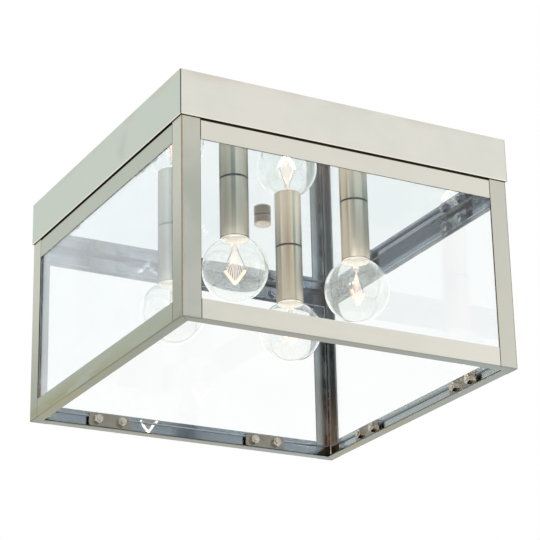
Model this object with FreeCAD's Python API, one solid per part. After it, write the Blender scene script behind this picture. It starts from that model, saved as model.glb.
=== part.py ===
import FreeCAD, Part
import math
import os

# Flush ceiling light with a square glass lantern, four globe bulbs and a mirror plate.
# Millimetres. The origin is on the ceiling at the middle of the canopy pan, +Z points up.
# The front side faces -Y; the other sides are the front side turned about Z.

V = FreeCAD.Vector

# Canopy pan
PAN_OVERHANG = 1.3
PAN_HEIGHT = 35.3
PAN_SHEET = 1.2
PAN_LIP = 26.0
PAN_BEND = 0.8
PAN_SEAM_WIDTH = 0.3
PAN_SEAM_DEPTH = 0.6

# Mirror plate under the pan
PLATE_SHEET = 1.4
PLATE_EDGE_CLEARANCE = 0.4

# Lantern frame of angle section
LANTERN_WIDTH = 277.4
POST_HEIGHT = 151.7
POST_LEG = 15.0
ANGLE_SHEET = 1.2
ANGLE_ARRIS = 0.5
RAIL_HEIGHT = 14.8
RAIL_FLANGE = 8.3
BUTT_GAP = 0.2
MITRE_GAP = 0.15

# Glass panes
GLASS_THICKNESS = 2.4
GLASS_CORNER_CLEARANCE = 0.6
GLASS_TOP_CLEARANCE = 0.5
GLASS_SEAMED_EDGE = 0.4

# Glass clips: a small plate on two welded studs with nuts
CLIP_OFFSET = 71.5
CLIP_RISE = 8.0
CLIP_LENGTH = 36.0
CLIP_HEIGHT = 11.0
CLIP_SHEET = 1.0
CLIP_CORNER = 1.5
STUD_SPACING = 20.8
STUD_RADIUS = 2.0
STUD_COLLAR_RADIUS = 3.0
STUD_COLLAR_SLACK = 0.1
STUD_TIP = 0.8
CLIP_HOLE_CLEARANCE = 0.15
NUT_FLATS = 7.0
NUT_THICKNESS = 3.2
NUT_CHAMFER = 0.6
THREAD_CLEARANCE = 0.05

# Screws that clamp pan, plate and top rails together
SCREW_END_DISTANCE = 19.5
SCREW_SETBACK = 5.2
SCREW_RADIUS = 1.5
SCREW_HEAD_RADIUS = 2.8
SCREW_HEAD_HEIGHT = 2.0
SCREW_HEAD_CROWN = 0.7
SCREW_SLOT_WIDTH = 0.8
SCREW_SLOT_DEPTH = 0.9
SCREW_HOLE_CLEARANCE = 0.2

# Candle sleeves
LAMP_OFFSET = 53.1
SLEEVE_DIAMETER = 22.2
SLEEVE_WALL = 0.8
SLEEVE_LENGTH = 48.8
SLEEVE_EDGE = 0.25

# Lampholders for the candelabra cap
HOLDER_COLLAR_CLEARANCE = 0.1
HOLDER_COLLAR_LENGTH = 5.0
HOLDER_BODY_DIAMETER = 17.0
HOLDER_MOUTH_DEPTH = 6.0
HOLDER_FLOOR = 6.0
HOLDER_SHELL_WALL = 0.35
HOLDER_SHELL_FIT = 0.05
HOLDER_SHELL_BEAD = 0.5
HOLDER_SHELL_BEADS = 3
# A bead of the shell: shares of the cap's pitch along it and of the bead height
HOLDER_BEAD_SHARES = ((0.0, 0.0), (0.33, 1.0), (0.67, 0.0))
HOLDER_SHELL_RETURN = 1.8
HOLDER_SOCKET_DEPTH = 9.0
HOLDER_LEAF_WIDTH = 4.0
HOLDER_LEAF_THICKNESS = 0.5
HOLDER_LEAF_LENGTH = 7.0
HOLDER_LEAF_BEND_SHARE = 0.33

# Lampholder nipples and their lock nuts
NIPPLE_RADIUS = 4.85
NIPPLE_BORE = 3.2
NIPPLE_HOLE_CLEARANCE = 0.25
NIPPLE_STICKOUT = 1.4
LOCK_NUT_FLATS = 14.0
LOCK_NUT_THICKNESS = 3.0
LOCK_NUT_CHAMFER = 0.8

# Globe bulbs with a candelabra screw cap
GLOBE_DIAMETER = 50.6
GLOBE_DROP = 24.1
GLASS_WALL = 0.6
NECK_RADIUS = 6.0
NECK_BLEND = 4.0
CAP_RADIUS = 5.95
CAP_RIDGE = 0.5
CAP_PITCH = 2.54
CAP_RIDGES = 4
# A ridge of the cap: shares of the pitch along it and of the ridge height out from the root
CAP_RIDGE_SHARES = ((0.5, 0.0), (0.83, 1.0), (1.0, 1.0), (1.33, 0.0))
CAP_WALL = 0.45
CAP_SKIRT_LENGTH = 2.1
CAP_SKIRT_GAP = 0.3
CAP_RUN_CLEARANCE = 0.08
CAP_CEMENT = 0.05
INSULATOR_HEIGHT = 3.4
INSULATOR_TIP_RADIUS = 3.2
BUTTON_RADIUS = 2.4
BUTTON_HEIGHT = 1.5
BUTTON_CROWN = 0.4

# Glass mount, lead wires and filament
STEM_RADIUS = 2.0
STEM_FLARE_LENGTH = 4.5
STEM_LENGTH = 9.5
STEM_TIP_RADIUS = 1.6
LEAD_RADIUS = 0.3
LEAD_SPREAD = 1.0
FILAMENT_WIDTH = 15.5
FILAMENT_HEIGHT = 11.5
FILAMENT_RADIUS = 0.35
FILAMENT_TURNS = (-28.0, 20.0, 5.0, 50.0)

# Hanging hardware in the pan
CROSSBAR_END_DISTANCE = 8.3
CROSSBAR_WIDTH = 20.0
CROSSBAR_SHEET = 2.0
CROSSBAR_SLOT_SPACING = 79.4
CROSSBAR_SLOT_LENGTH = 16.0
CROSSBAR_SLOT_RADIUS = 2.3
CROSSBAR_COLLAR_RADIUS = 7.2
CROSSBAR_COLLAR_HEIGHT = 2.6
GROUND_SCREW_OFFSET = 20.0
CENTRE_NIPPLE_TOP = 0.5
CENTRE_NIPPLE_REACH = 6.3

# Knurled finial and its washer
WASHER_RADIUS = 6.2
WASHER_THICKNESS = 0.5
WASHER_CLEARANCE = 0.1
FINIAL_DIAMETER = 13.6
FINIAL_LENGTH = 7.6
FINIAL_CHAMFER = 0.6
FINIAL_KNURL_LENGTH = 5.0
FINIAL_KNURL_DEPTH = 0.45
FINIAL_KNURL_COUNT = 32
FINIAL_BORE_SPACE = 0.5
FINIAL_THREAD_CLEARANCE = 0.06

# Length by which a cutting shape runs past what it cuts
OVERRUN = 5.0

FULL_TURN = 360.0
QUARTER = 90.0
HEXAGON_SIDES = 6
SIDES = ("front", "right", "back", "left")
CORNERS = ("front_left", "front_right", "back_right", "back_left")

# Heights and half widths worked out from the sizes above
HALF = LANTERN_WIDTH / 2
PAN_HALF = HALF + PAN_OVERHANG
PAN_UNDER = -PAN_HEIGHT
PLATE_UNDER = PAN_UNDER - PLATE_SHEET
PLATE_HALF = HALF - ANGLE_SHEET - PLATE_EDGE_CLEARANCE
FRAME_BOTTOM = PAN_UNDER - POST_HEIGHT
RAIL_INNER = HALF - ANGLE_SHEET
RAIL_END = HALF - POST_LEG - BUTT_GAP
TOP_CLIP_Z = PLATE_UNDER - CLIP_RISE
BOTTOM_CLIP_Z = FRAME_BOTTOM + CLIP_RISE
STUD_COLLAR = GLASS_THICKNESS + STUD_COLLAR_SLACK
SCREW_OFFSET = RAIL_END - SCREW_END_DISTANCE
SCREW_LINE = HALF - SCREW_SETBACK
SLEEVE_RADIUS = SLEEVE_DIAMETER / 2
SLEEVE_BORE = SLEEVE_RADIUS - SLEEVE_WALL
SLEEVE_END = PLATE_UNDER - SLEEVE_LENGTH
HOLDER_MOUTH = SLEEVE_END + HOLDER_MOUTH_DEPTH
SHELL_BORE = CAP_RADIUS + CAP_RUN_CLEARANCE
GLOBE_RADIUS = GLOBE_DIAMETER / 2
GLOBE_CENTRE = SLEEVE_END - GLOBE_DROP
BLEND_RISE = math.sqrt((GLOBE_RADIUS + NECK_BLEND) ** 2 - (NECK_RADIUS + NECK_BLEND) ** 2)
BLEND_CENTRE = GLOBE_CENTRE + BLEND_RISE
CAP_SHOULDER = HOLDER_MOUTH - CAP_SKIRT_GAP
CAP_THREAD_TOP = CAP_SHOULDER + CAP_PITCH * (CAP_RIDGES + 1)
INSULATOR_TOP = CAP_THREAD_TOP + INSULATOR_HEIGHT
BUTTON_TOP = INSULATOR_TOP + BUTTON_HEIGHT
HOLDER_FLOOR_Z = BUTTON_TOP + HOLDER_FLOOR
CROSSBAR_LENGTH = CROSSBAR_SLOT_SPACING + CROSSBAR_SLOT_LENGTH + 2 * CROSSBAR_END_DISTANCE
CROSSBAR_COLLAR_END = -CROSSBAR_SHEET - CROSSBAR_COLLAR_HEIGHT
WASHER_UNDER = PLATE_UNDER - WASHER_THICKNESS
NIPPLE_END = PLATE_UNDER - CENTRE_NIPPLE_REACH


def turned(shape, quarters):
    """A copy of a shape on the front side or front left corner, turned to another one."""
    copy = shape.copy()
    copy.rotate(V(0, 0, 0), V(0, 0, 1), QUARTER * quarters)
    return copy


def moved(shape, x, y, z):
    """A copy of a shape moved by x, y and z."""
    copy = shape.copy()
    copy.translate(V(x, y, z))
    return copy


def block(x0, x1, y0, y1, z0, z1):
    """A box between two corners."""
    return Part.makeBox(x1 - x0, y1 - y0, z1 - z0, V(x0, y0, z0))


def rod(radius, z0, z1):
    """A round bar on the Z axis from z0 up to z1."""
    return Part.makeCylinder(radius, z1 - z0, V(0, 0, z0))


def tube(outer, inner, z0, z1):
    """A round tube on the Z axis from z0 up to z1."""
    return rod(outer, z0, z1).cut(rod(inner, z0 - OVERRUN, z1 + OVERRUN))


def polygon_face(points):
    """A flat face through a list of points."""
    return Part.Face(Part.makePolygon(points + [points[0]]))


def spun(edges):
    """A solid turned about the Z axis from the edges of a closed profile in the XZ plane."""
    return Part.Face(Part.Wire(edges)).revolve(V(0, 0, 0), V(0, 0, 1), FULL_TURN)


def profile_lines(pairs):
    """The edges of a closed profile with straight sides, from pairs of radius and height."""
    points = [V(radius, 0, z) for radius, z in pairs]
    return [Part.makeLine(a, b) for a, b in zip(points, points[1:] + points[:1])]


def dome_arc(radius, base, top):
    """The arc of a spherical crown in the XZ plane, from its rim up to its pole on the axis."""
    rise = top - base
    ball = (radius ** 2 + rise ** 2) / (2 * rise)
    half_angle = math.asin(radius / ball) / 2
    middle = V(ball * math.sin(half_angle), 0, top - ball + ball * math.cos(half_angle))
    return Part.Arc(V(radius, 0, base), middle, V(0, 0, top)).toShape()


def crowned_disc(radius, base, shoulder, top):
    """A round disc on the Z axis whose upper face is a spherical crown."""
    return spun([Part.makeLine(V(0, 0, base), V(radius, 0, base)),
                 Part.makeLine(V(radius, 0, base), V(radius, 0, shoulder)),
                 dome_arc(radius, shoulder, top),
                 Part.makeLine(V(0, 0, top), V(0, 0, base))])


def hexagon(flats, z0, z1, chamfer):
    """A six-sided bar across its flats, with its lower corners taken off by a cone."""
    corner = flats / math.sqrt(3)
    step = 2 * math.pi / HEXAGON_SIDES
    angles = [step * (k + 1 / 2) for k in range(HEXAGON_SIDES)]
    points = [V(corner * math.cos(angle), corner * math.sin(angle), z0) for angle in angles]
    bar = polygon_face(points).extrude(V(0, 0, z1 - z0))
    cone = Part.makeCone(corner - chamfer, corner - chamfer + (z1 - z0), z1 - z0, V(0, 0, z0))
    return bar.common(cone)


def canopy_pan():
    """The square sheet pan: four walls and a lip turned in all round, open to the ceiling."""
    outer = block(-PAN_HALF, PAN_HALF, -PAN_HALF, PAN_HALF, PAN_UNDER, 0)
    bends = [edge for edge in outer.Edges if edge.BoundBox.ZMin < -PAN_SHEET]
    outer = outer.makeFillet(PAN_BEND, bends)
    inside = PAN_HALF - PAN_SHEET
    hollow = block(-inside, inside, -inside, inside, PAN_UNDER + PAN_SHEET, OVERRUN)
    window = PAN_HALF - PAN_LIP
    opening = block(-window, window, -window, window, PAN_UNDER - OVERRUN, 0)
    pan = outer.cut(hollow).cut(opening)
    seam = block(-PAN_SEAM_WIDTH / 2, PAN_SEAM_WIDTH / 2, -OVERRUN, PAN_SEAM_DEPTH,
                 PAN_UNDER - OVERRUN, OVERRUN)
    seam.rotate(V(0, 0, 0), V(0, 0, 1), -QUARTER / 2)
    arris = PAN_HALF - PAN_BEND * (1 - math.sqrt(1 / 2))
    seam = moved(seam, -arris, -arris, 0)
    for k in range(len(CORNERS)):
        pan = pan.cut(turned(seam, k))
    return pan.cut(screw_holes())


def screw_holes():
    """The clearance holes of the clamping screws, two to a side."""
    hole = rod(SCREW_RADIUS + SCREW_HOLE_CLEARANCE, PLATE_UNDER - OVERRUN, PAN_UNDER + OVERRUN)
    pair = [moved(hole, side * SCREW_OFFSET, -SCREW_LINE, 0) for side in (-1, 1)]
    return Part.makeCompound([turned(one, k) for k in range(len(SIDES)) for one in pair])


def reflector_plate():
    """The polished plate clamped under the pan, with holes for the nipples and the screws."""
    plate = block(-PLATE_HALF, PLATE_HALF, -PLATE_HALF, PLATE_HALF, PLATE_UNDER, PAN_UNDER)
    hole = rod(NIPPLE_RADIUS + NIPPLE_HOLE_CLEARANCE, PLATE_UNDER - OVERRUN, PAN_UNDER + OVERRUN)
    plate = plate.cut(hole)
    for k in range(len(CORNERS)):
        plate = plate.cut(at_lamp(hole, k))
    return plate.cut(screw_holes())


def at_lamp(shape, k):
    """A copy of a shape on the Z axis, moved to the lamp at corner k."""
    return turned(moved(shape, -LAMP_OFFSET, -LAMP_OFFSET, 0), k)


def corner_post():
    """The upright at the front left corner: an angle bar whose outer arris is eased."""
    far = HALF - POST_LEG
    outline = [V(-HALF, -HALF, FRAME_BOTTOM), V(-far, -HALF, FRAME_BOTTOM),
               V(-far, -RAIL_INNER, FRAME_BOTTOM), V(-RAIL_INNER, -RAIL_INNER, FRAME_BOTTOM),
               V(-RAIL_INNER, -far, FRAME_BOTTOM), V(-HALF, -far, FRAME_BOTTOM)]
    post = polygon_face(outline).extrude(V(0, 0, POST_HEIGHT))
    arris = [edge for edge in post.Edges
             if edge.BoundBox.XMax < -HALF + ANGLE_ARRIS and edge.BoundBox.YMax < -HALF + ANGLE_ARRIS]
    return post.makeFillet(ANGLE_ARRIS, arris)


def bottom_rail():
    """The front bottom rail: an angle whose flange runs on past the upright leg to the mitres."""
    top = FRAME_BOTTOM + RAIL_HEIGHT
    shelf = FRAME_BOTTOM + ANGLE_SHEET
    lip = HALF - RAIL_FLANGE
    leg = block(-RAIL_END, RAIL_END, -HALF, -RAIL_INNER, FRAME_BOTTOM, top)
    foot = block(-RAIL_END, RAIL_END, -HALF, -lip, FRAME_BOTTOM, shelf)
    angle = leg.fuse(foot).removeSplitter()
    arris = [edge for edge in angle.Edges
             if edge.BoundBox.YMax < -HALF + ANGLE_ARRIS and edge.BoundBox.ZMax < FRAME_BOTTOM + ANGLE_ARRIS
             and edge.BoundBox.XLength > RAIL_END]
    angle = angle.makeFillet(ANGLE_ARRIS, arris)
    outer_end = RAIL_INNER - MITRE_GAP
    inner_end = lip - MITRE_GAP
    flange = [V(-outer_end, -RAIL_INNER, FRAME_BOTTOM), V(outer_end, -RAIL_INNER, FRAME_BOTTOM),
              V(inner_end, -lip, FRAME_BOTTOM), V(-inner_end, -lip, FRAME_BOTTOM)]
    return angle.fuse(polygon_face(flange).extrude(V(0, 0, ANGLE_SHEET))).removeSplitter()


def top_rail():
    """The front top rail: the bottom rail upside down under the plate, tapped for two screws."""
    rail = bottom_rail().mirror(V(0, 0, (FRAME_BOTTOM + PLATE_UNDER) / 2), V(0, 0, 1))
    hole = rod(SCREW_RADIUS + THREAD_CLEARANCE, PLATE_UNDER - OVERRUN, PLATE_UNDER + OVERRUN)
    for side in (-1, 1):
        rail = rail.cut(moved(hole, side * SCREW_OFFSET, -SCREW_LINE, 0))
    return rail


def glass_pane():
    """The front pane: it stands on the collars of the bottom studs, against rails and posts."""
    reach = RAIL_INNER - GLASS_THICKNESS - GLASS_CORNER_CLEARANCE
    low = BOTTOM_CLIP_Z + STUD_COLLAR_RADIUS
    high = TOP_CLIP_Z - STUD_COLLAR_RADIUS - GLASS_TOP_CLEARANCE
    pane = block(-reach, reach, -RAIL_INNER, -RAIL_INNER + GLASS_THICKNESS, low, high)
    rims = [edge for edge in pane.Edges if edge.BoundBox.YLength < GLASS_SEAMED_EDGE]
    return pane.makeChamfer(GLASS_SEAMED_EDGE, rims)


def at_clips(shape):
    """Copies of a shape that stands on the Z axis of a clip, at every clip of the lantern."""
    inward = shape.copy()
    inward.rotate(V(0, 0, 0), V(1, 0, 0), -QUARTER)
    places = [(side * CLIP_OFFSET, z) for side in (-1, 1) for z in (BOTTOM_CLIP_Z, TOP_CLIP_Z)]
    front = [moved(inward, x, -RAIL_INNER, z) for x, z in places]
    return [turned(one, k) for k in range(len(SIDES)) for one in front]


def stud_pair(shape):
    """Two copies of a shape at the stud spacing of a clip."""
    return [moved(shape, side * STUD_SPACING / 2, 0, 0) for side in (-1, 1)]


def clip_studs():
    """The welded studs of all clips, each with a collar as thick as the glass."""
    end = STUD_COLLAR + CLIP_SHEET + NUT_THICKNESS + STUD_TIP
    stud = rod(STUD_COLLAR_RADIUS, 0, STUD_COLLAR).fuse(rod(STUD_RADIUS, 0, end)).removeSplitter()
    return Part.makeCompound([copy for one in stud_pair(stud) for copy in at_clips(one)])


def clip_plates():
    """The clip plates, each with rounded corners and two holes, on the collars of its studs."""
    x, y = CLIP_LENGTH / 2, CLIP_HEIGHT / 2
    plate = block(-x, x, -y, y, STUD_COLLAR, STUD_COLLAR + CLIP_SHEET)
    corners = [edge for edge in plate.Edges if edge.BoundBox.ZLength > CLIP_SHEET / 2]
    plate = plate.makeFillet(CLIP_CORNER, corners)
    for hole in stud_pair(rod(STUD_RADIUS + CLIP_HOLE_CLEARANCE, 0, STUD_COLLAR + OVERRUN)):
        plate = plate.cut(hole)
    return Part.makeCompound(at_clips(plate))


def clip_nuts():
    """The hexagon nuts on the clip studs, chamfered on the side that shows."""
    base = STUD_COLLAR + CLIP_SHEET
    nut = hexagon(NUT_FLATS, -base - NUT_THICKNESS, -base, NUT_CHAMFER)
    nut = nut.mirror(V(0, 0, 0), V(0, 0, 1))
    nut = nut.cut(rod(STUD_RADIUS + THREAD_CLEARANCE, 0, base + NUT_THICKNESS + OVERRUN))
    return Part.makeCompound([copy for one in stud_pair(nut) for copy in at_clips(one)])


def screw_head(under):
    """A slotted head with a crowned top, standing on the height under."""
    top = under + SCREW_HEAD_HEIGHT
    head = crowned_disc(SCREW_HEAD_RADIUS, under, top - SCREW_HEAD_CROWN, top)
    half = SCREW_SLOT_WIDTH / 2
    return head.cut(block(-OVERRUN, OVERRUN, -half, half, top - SCREW_SLOT_DEPTH, top + OVERRUN))


def frame_screws():
    """The screws put in from above through pan lip, plate and top rail."""
    under = PAN_UNDER + PAN_SHEET
    shank = rod(SCREW_RADIUS, PLATE_UNDER - ANGLE_SHEET, under)
    screw = screw_head(under).fuse(shank).removeSplitter()
    pair = [moved(screw, side * SCREW_OFFSET, -SCREW_LINE, 0) for side in (-1, 1)]
    return Part.makeCompound([turned(one, k) for k in range(len(SIDES)) for one in pair])


def candle_sleeve():
    """The plain metal tube round a lampholder, its edges broken."""
    sleeve = tube(SLEEVE_RADIUS, SLEEVE_BORE, SLEEVE_END, PLATE_UNDER)
    rims = [edge for edge in sleeve.Edges if edge.BoundBox.ZLength < SLEEVE_EDGE
            and edge.BoundBox.XLength > SLEEVE_RADIUS + SLEEVE_BORE]
    return sleeve.makeChamfer(SLEEVE_EDGE, rims)


def lampholder_body():
    """The moulded holder: a floor under the plate, a well for the cap, and two centring collars."""
    collar = SLEEVE_BORE - HOLDER_COLLAR_CLEARANCE
    waist = HOLDER_BODY_DIAMETER / 2
    well = SHELL_BORE + HOLDER_SHELL_WALL + HOLDER_SHELL_BEAD + HOLDER_SHELL_FIT
    upper = PLATE_UNDER - HOLDER_COLLAR_LENGTH
    lower = HOLDER_MOUTH + HOLDER_COLLAR_LENGTH
    socket = PLATE_UNDER - HOLDER_SOCKET_DEPTH
    thread = NIPPLE_RADIUS + THREAD_CLEARANCE
    slope = collar - waist
    return spun(profile_lines([
        (thread, PLATE_UNDER), (collar, PLATE_UNDER), (collar, upper), (waist, upper - slope),
        (waist, lower + slope), (collar, lower), (collar, HOLDER_MOUTH), (well, HOLDER_MOUTH),
        (well, HOLDER_FLOOR_Z), (0, HOLDER_FLOOR_Z), (0, socket), (thread, socket)]))


def lampholder_shell():
    """The screw shell: a thin cup with rolled beads outside and a clear bore for the cap."""
    outer = SHELL_BORE + HOLDER_SHELL_WALL
    bead = outer + HOLDER_SHELL_BEAD
    top = BUTTON_TOP
    start = HOLDER_MOUTH + CAP_PITCH
    outline = [(SHELL_BORE, HOLDER_MOUTH), (bead, HOLDER_MOUTH), (bead, HOLDER_MOUTH + HOLDER_SHELL_WALL),
               (outer, HOLDER_MOUTH + 2 * HOLDER_SHELL_WALL)]
    for k in range(HOLDER_SHELL_BEADS):
        for along, out in HOLDER_BEAD_SHARES:
            outline.append((outer + HOLDER_SHELL_BEAD * out, start + CAP_PITCH * (k + along)))
    inner = SHELL_BORE - HOLDER_SHELL_RETURN
    shelf = top - HOLDER_SHELL_WALL
    outline += [(outer, top), (inner, top), (inner, shelf), (SHELL_BORE, shelf)]
    return spun(profile_lines(outline))


def lampholder_contact():
    """The springy centre contact: a strip bent down from the floor of the well to the cap's button."""
    x = HOLDER_LEAF_LENGTH / 2
    t = HOLDER_LEAF_THICKNESS
    roof = HOLDER_FLOOR_Z
    tip = BUTTON_TOP
    bend = x * HOLDER_LEAF_BEND_SHARE
    outline = [(-x, roof), (bend, roof), (bend, roof - t), (-x + 2 * t, roof - t), (-bend, tip + t),
               (x, tip + t), (x, tip), (-bend - t, tip), (-x, roof - t)]
    strip = polygon_face([V(along, 0, z) for along, z in outline]).extrude(V(0, HOLDER_LEAF_WIDTH, 0))
    return moved(strip, 0, -HOLDER_LEAF_WIDTH / 2, 0)


def lampholder_nipple():
    """The short threaded tube that hangs a lampholder from the plate."""
    low = PLATE_UNDER - HOLDER_SOCKET_DEPTH
    high = PAN_UNDER + LOCK_NUT_THICKNESS + NIPPLE_STICKOUT
    return tube(NIPPLE_RADIUS, NIPPLE_BORE, low, high)


def lock_nut(under):
    """A thin lock nut on a nipple, standing on the height under."""
    nut = hexagon(LOCK_NUT_FLATS, -under - LOCK_NUT_THICKNESS, -under, LOCK_NUT_CHAMFER)
    nut = nut.mirror(V(0, 0, 0), V(0, 0, 1))
    top = under + LOCK_NUT_THICKNESS
    return nut.cut(rod(NIPPLE_RADIUS + THREAD_CLEARANCE, under - OVERRUN, top + OVERRUN))


def globe_outline(wall):
    """The bulb's outline set in by a wall: sphere, blend arc and neck, from the pole to the neck end."""
    sphere = GLOBE_RADIUS - wall
    blend = NECK_BLEND + wall
    neck = NECK_RADIUS - wall
    centre = V(0, 0, GLOBE_CENTRE)
    hub = V(NECK_RADIUS + NECK_BLEND, 0, BLEND_CENTRE)
    towards = V(hub.x, 0, hub.z - GLOBE_CENTRE)
    towards.normalize()
    meet = centre + towards * sphere
    arc_angle = math.atan2(meet.z - hub.z, meet.x - hub.x)
    half_way = (arc_angle - math.pi) / 2
    middle = hub + V(math.cos(half_way), 0, math.sin(half_way)) * blend
    pole = V(0, 0, GLOBE_CENTRE - sphere)
    equator = centre + V(sphere, 0, 0)
    throat = V(neck, 0, hub.z)
    end = V(neck, 0, CAP_SHOULDER - CAP_SKIRT_GAP)
    return pole, end, [Part.Arc(pole, equator, meet).toShape(), Part.Arc(meet, middle, throat).toShape(),
                       Part.makeLine(throat, end)]


def bulb_globe():
    """The blown clear globe with its short neck."""
    pole, end, outside = globe_outline(0)
    inner_pole, inner_end, inside = globe_outline(GLASS_WALL)
    rim = Part.makeLine(end, inner_end)
    return spun(outside + [rim] + inside[::-1] + [Part.makeLine(inner_pole, pole)])


def bulb_cap():
    """The screw cap: a skirt round the neck, a ridged shell, and the insulator that closes it."""
    root = CAP_RADIUS - CAP_RIDGE
    skirt_bore = NECK_RADIUS + CAP_CEMENT
    skirt = skirt_bore + CAP_WALL
    bore = root - CAP_WALL
    outline = [(skirt_bore, CAP_SHOULDER - CAP_SKIRT_LENGTH), (skirt, CAP_SHOULDER - CAP_SKIRT_LENGTH),
               (skirt, CAP_SHOULDER), (root, CAP_SHOULDER)]
    for k in range(CAP_RIDGES):
        for along, out in CAP_RIDGE_SHARES:
            outline.append((root + CAP_RIDGE * out, CAP_SHOULDER + CAP_PITCH * (k + along)))
    outline += [(root, CAP_THREAD_TOP), (INSULATOR_TIP_RADIUS, INSULATOR_TOP), (0, INSULATOR_TOP),
                (0, CAP_THREAD_TOP), (bore, CAP_THREAD_TOP), (bore, CAP_SHOULDER - CAP_SKIRT_GAP),
                (skirt_bore, CAP_SHOULDER - CAP_SKIRT_GAP)]
    return spun(profile_lines(outline))


def bulb_contact():
    """The contact button on the cap's end."""
    return crowned_disc(BUTTON_RADIUS, INSULATOR_TOP, BUTTON_TOP - BUTTON_CROWN, BUTTON_TOP)


def wire_between(a, b, radius):
    """A straight round wire from one point to another."""
    along = b - a
    return Part.makeCylinder(radius, along.Length, a, along)


def bulb_filament(turn):
    """The glass mount with two lead wires and the V-shaped filament, turned about the bulb's axis."""
    flare = NECK_RADIUS - GLASS_WALL - CAP_CEMENT
    top = CAP_SHOULDER - CAP_SKIRT_GAP
    waist = top - STEM_FLARE_LENGTH
    pinch = waist - STEM_LENGTH
    mount = spun(profile_lines([(0, top), (flare, top), (flare, top - GLASS_WALL), (STEM_RADIUS, waist),
                                (STEM_TIP_RADIUS, pinch), (0, pinch)]))
    vertex = V(0, 0, GLOBE_CENTRE - FILAMENT_HEIGHT)
    for side in (-1, 1):
        root = V(side * LEAD_SPREAD, 0, pinch + STEM_RADIUS)
        end = V(side * FILAMENT_WIDTH / 2, 0, GLOBE_CENTRE)
        mount = mount.fuse(wire_between(root, end, LEAD_RADIUS))
        mount = mount.fuse(wire_between(end, vertex, FILAMENT_RADIUS))
        mount = mount.fuse(Part.makeSphere(FILAMENT_RADIUS, end))
    mount = mount.fuse(Part.makeSphere(FILAMENT_RADIUS, vertex)).removeSplitter()
    mount.rotate(V(0, 0, 0), V(0, 0, 1), turn)
    return mount


def stadium(length, radius, z0, z1):
    """A flat bar along X with round ends, from z0 up to z1."""
    run = length / 2 - radius
    bar = block(-run, run, -radius, radius, z0, z1)
    for end in (-run, run):
        bar = bar.fuse(moved(rod(radius, z0, z1), end, 0, 0))
    return bar.removeSplitter()


def crossbar():
    """The mounting bar: rounded ends, two slots for the box screws, a tapped collar and a screw hole."""
    bar = stadium(CROSSBAR_LENGTH, CROSSBAR_WIDTH / 2, -CROSSBAR_SHEET, 0)
    bar = bar.fuse(rod(CROSSBAR_COLLAR_RADIUS, CROSSBAR_COLLAR_END, 0)).removeSplitter()
    bar = bar.cut(rod(NIPPLE_RADIUS + THREAD_CLEARANCE, CROSSBAR_COLLAR_END - OVERRUN, OVERRUN))
    tapping = rod(SCREW_RADIUS + THREAD_CLEARANCE, -CROSSBAR_SHEET - OVERRUN, OVERRUN)
    bar = bar.cut(moved(tapping, GROUND_SCREW_OFFSET, 0, 0))
    slot = stadium(CROSSBAR_SLOT_LENGTH, CROSSBAR_SLOT_RADIUS, -CROSSBAR_SHEET - OVERRUN, OVERRUN)
    for side in (-1, 1):
        bar = bar.cut(moved(slot, side * CROSSBAR_SLOT_SPACING / 2, 0, 0))
    return bar


def ground_screw():
    """The earth screw in the crossbar, its head below."""
    screw = screw_head(CROSSBAR_SHEET).fuse(rod(SCREW_RADIUS, 0, CROSSBAR_SHEET)).removeSplitter()
    return moved(screw.mirror(V(0, 0, 0), V(0, 0, 1)), GROUND_SCREW_OFFSET, 0, 0)


def centre_nipple():
    """The threaded tube that carries the whole light from the crossbar."""
    return tube(NIPPLE_RADIUS, NIPPLE_BORE, NIPPLE_END, -CENTRE_NIPPLE_TOP)


def finial_washer():
    """The flat washer between the plate and the finial."""
    return tube(WASHER_RADIUS, NIPPLE_RADIUS + WASHER_CLEARANCE, WASHER_UNDER, PLATE_UNDER)


def knurled_finial():
    """The knurled cap nut: a blind threaded bore, broken edges and flutes round its side."""
    radius = FINIAL_DIAMETER / 2
    low = WASHER_UNDER - FINIAL_LENGTH
    inner = radius - FINIAL_CHAMFER
    bore = NIPPLE_RADIUS + FINIAL_THREAD_CLEARANCE
    roof = NIPPLE_END - FINIAL_BORE_SPACE
    shoulder = WASHER_UNDER - FINIAL_CHAMFER
    nut = spun(profile_lines([(0, low), (inner, low), (radius, low + FINIAL_CHAMFER), (radius, shoulder),
                              (inner, WASHER_UNDER), (bore, WASHER_UNDER), (bore, roof), (0, roof)]))
    start = shoulder - FINIAL_KNURL_LENGTH
    wide = 2 * FINIAL_KNURL_DEPTH
    groove = [V(radius - FINIAL_KNURL_DEPTH, 0, start), V(radius + FINIAL_KNURL_DEPTH, -wide, start),
              V(radius + FINIAL_KNURL_DEPTH, wide, start)]
    flute = polygon_face(groove).extrude(V(0, 0, WASHER_UNDER + OVERRUN - start))
    step = FULL_TURN / FINIAL_KNURL_COUNT
    for k in range(FINIAL_KNURL_COUNT):
        cutter = flute.copy()
        cutter.rotate(V(0, 0, 0), V(0, 0, 1), step * k)
        nut = nut.cut(cutter)
    return nut


def lamp_parts(k):
    """The pieces of lamp k that have a node each, by node name."""
    number = k + 1
    filament = bulb_filament(FILAMENT_TURNS[k] - QUARTER * k)
    return {
        f"candle_sleeve_{number}": at_lamp(candle_sleeve(), k),
        f"lampholder_body_{number}": at_lamp(lampholder_body(), k),
        f"lampholder_shell_{number}": at_lamp(lampholder_shell(), k),
        f"bulb_globe_{number}": at_lamp(bulb_globe(), k),
        f"bulb_cap_{number}": at_lamp(bulb_cap(), k),
        f"bulb_contact_{number}": at_lamp(bulb_contact(), k),
        f"bulb_filament_{number}": at_lamp(filament, k),
    }


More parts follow.
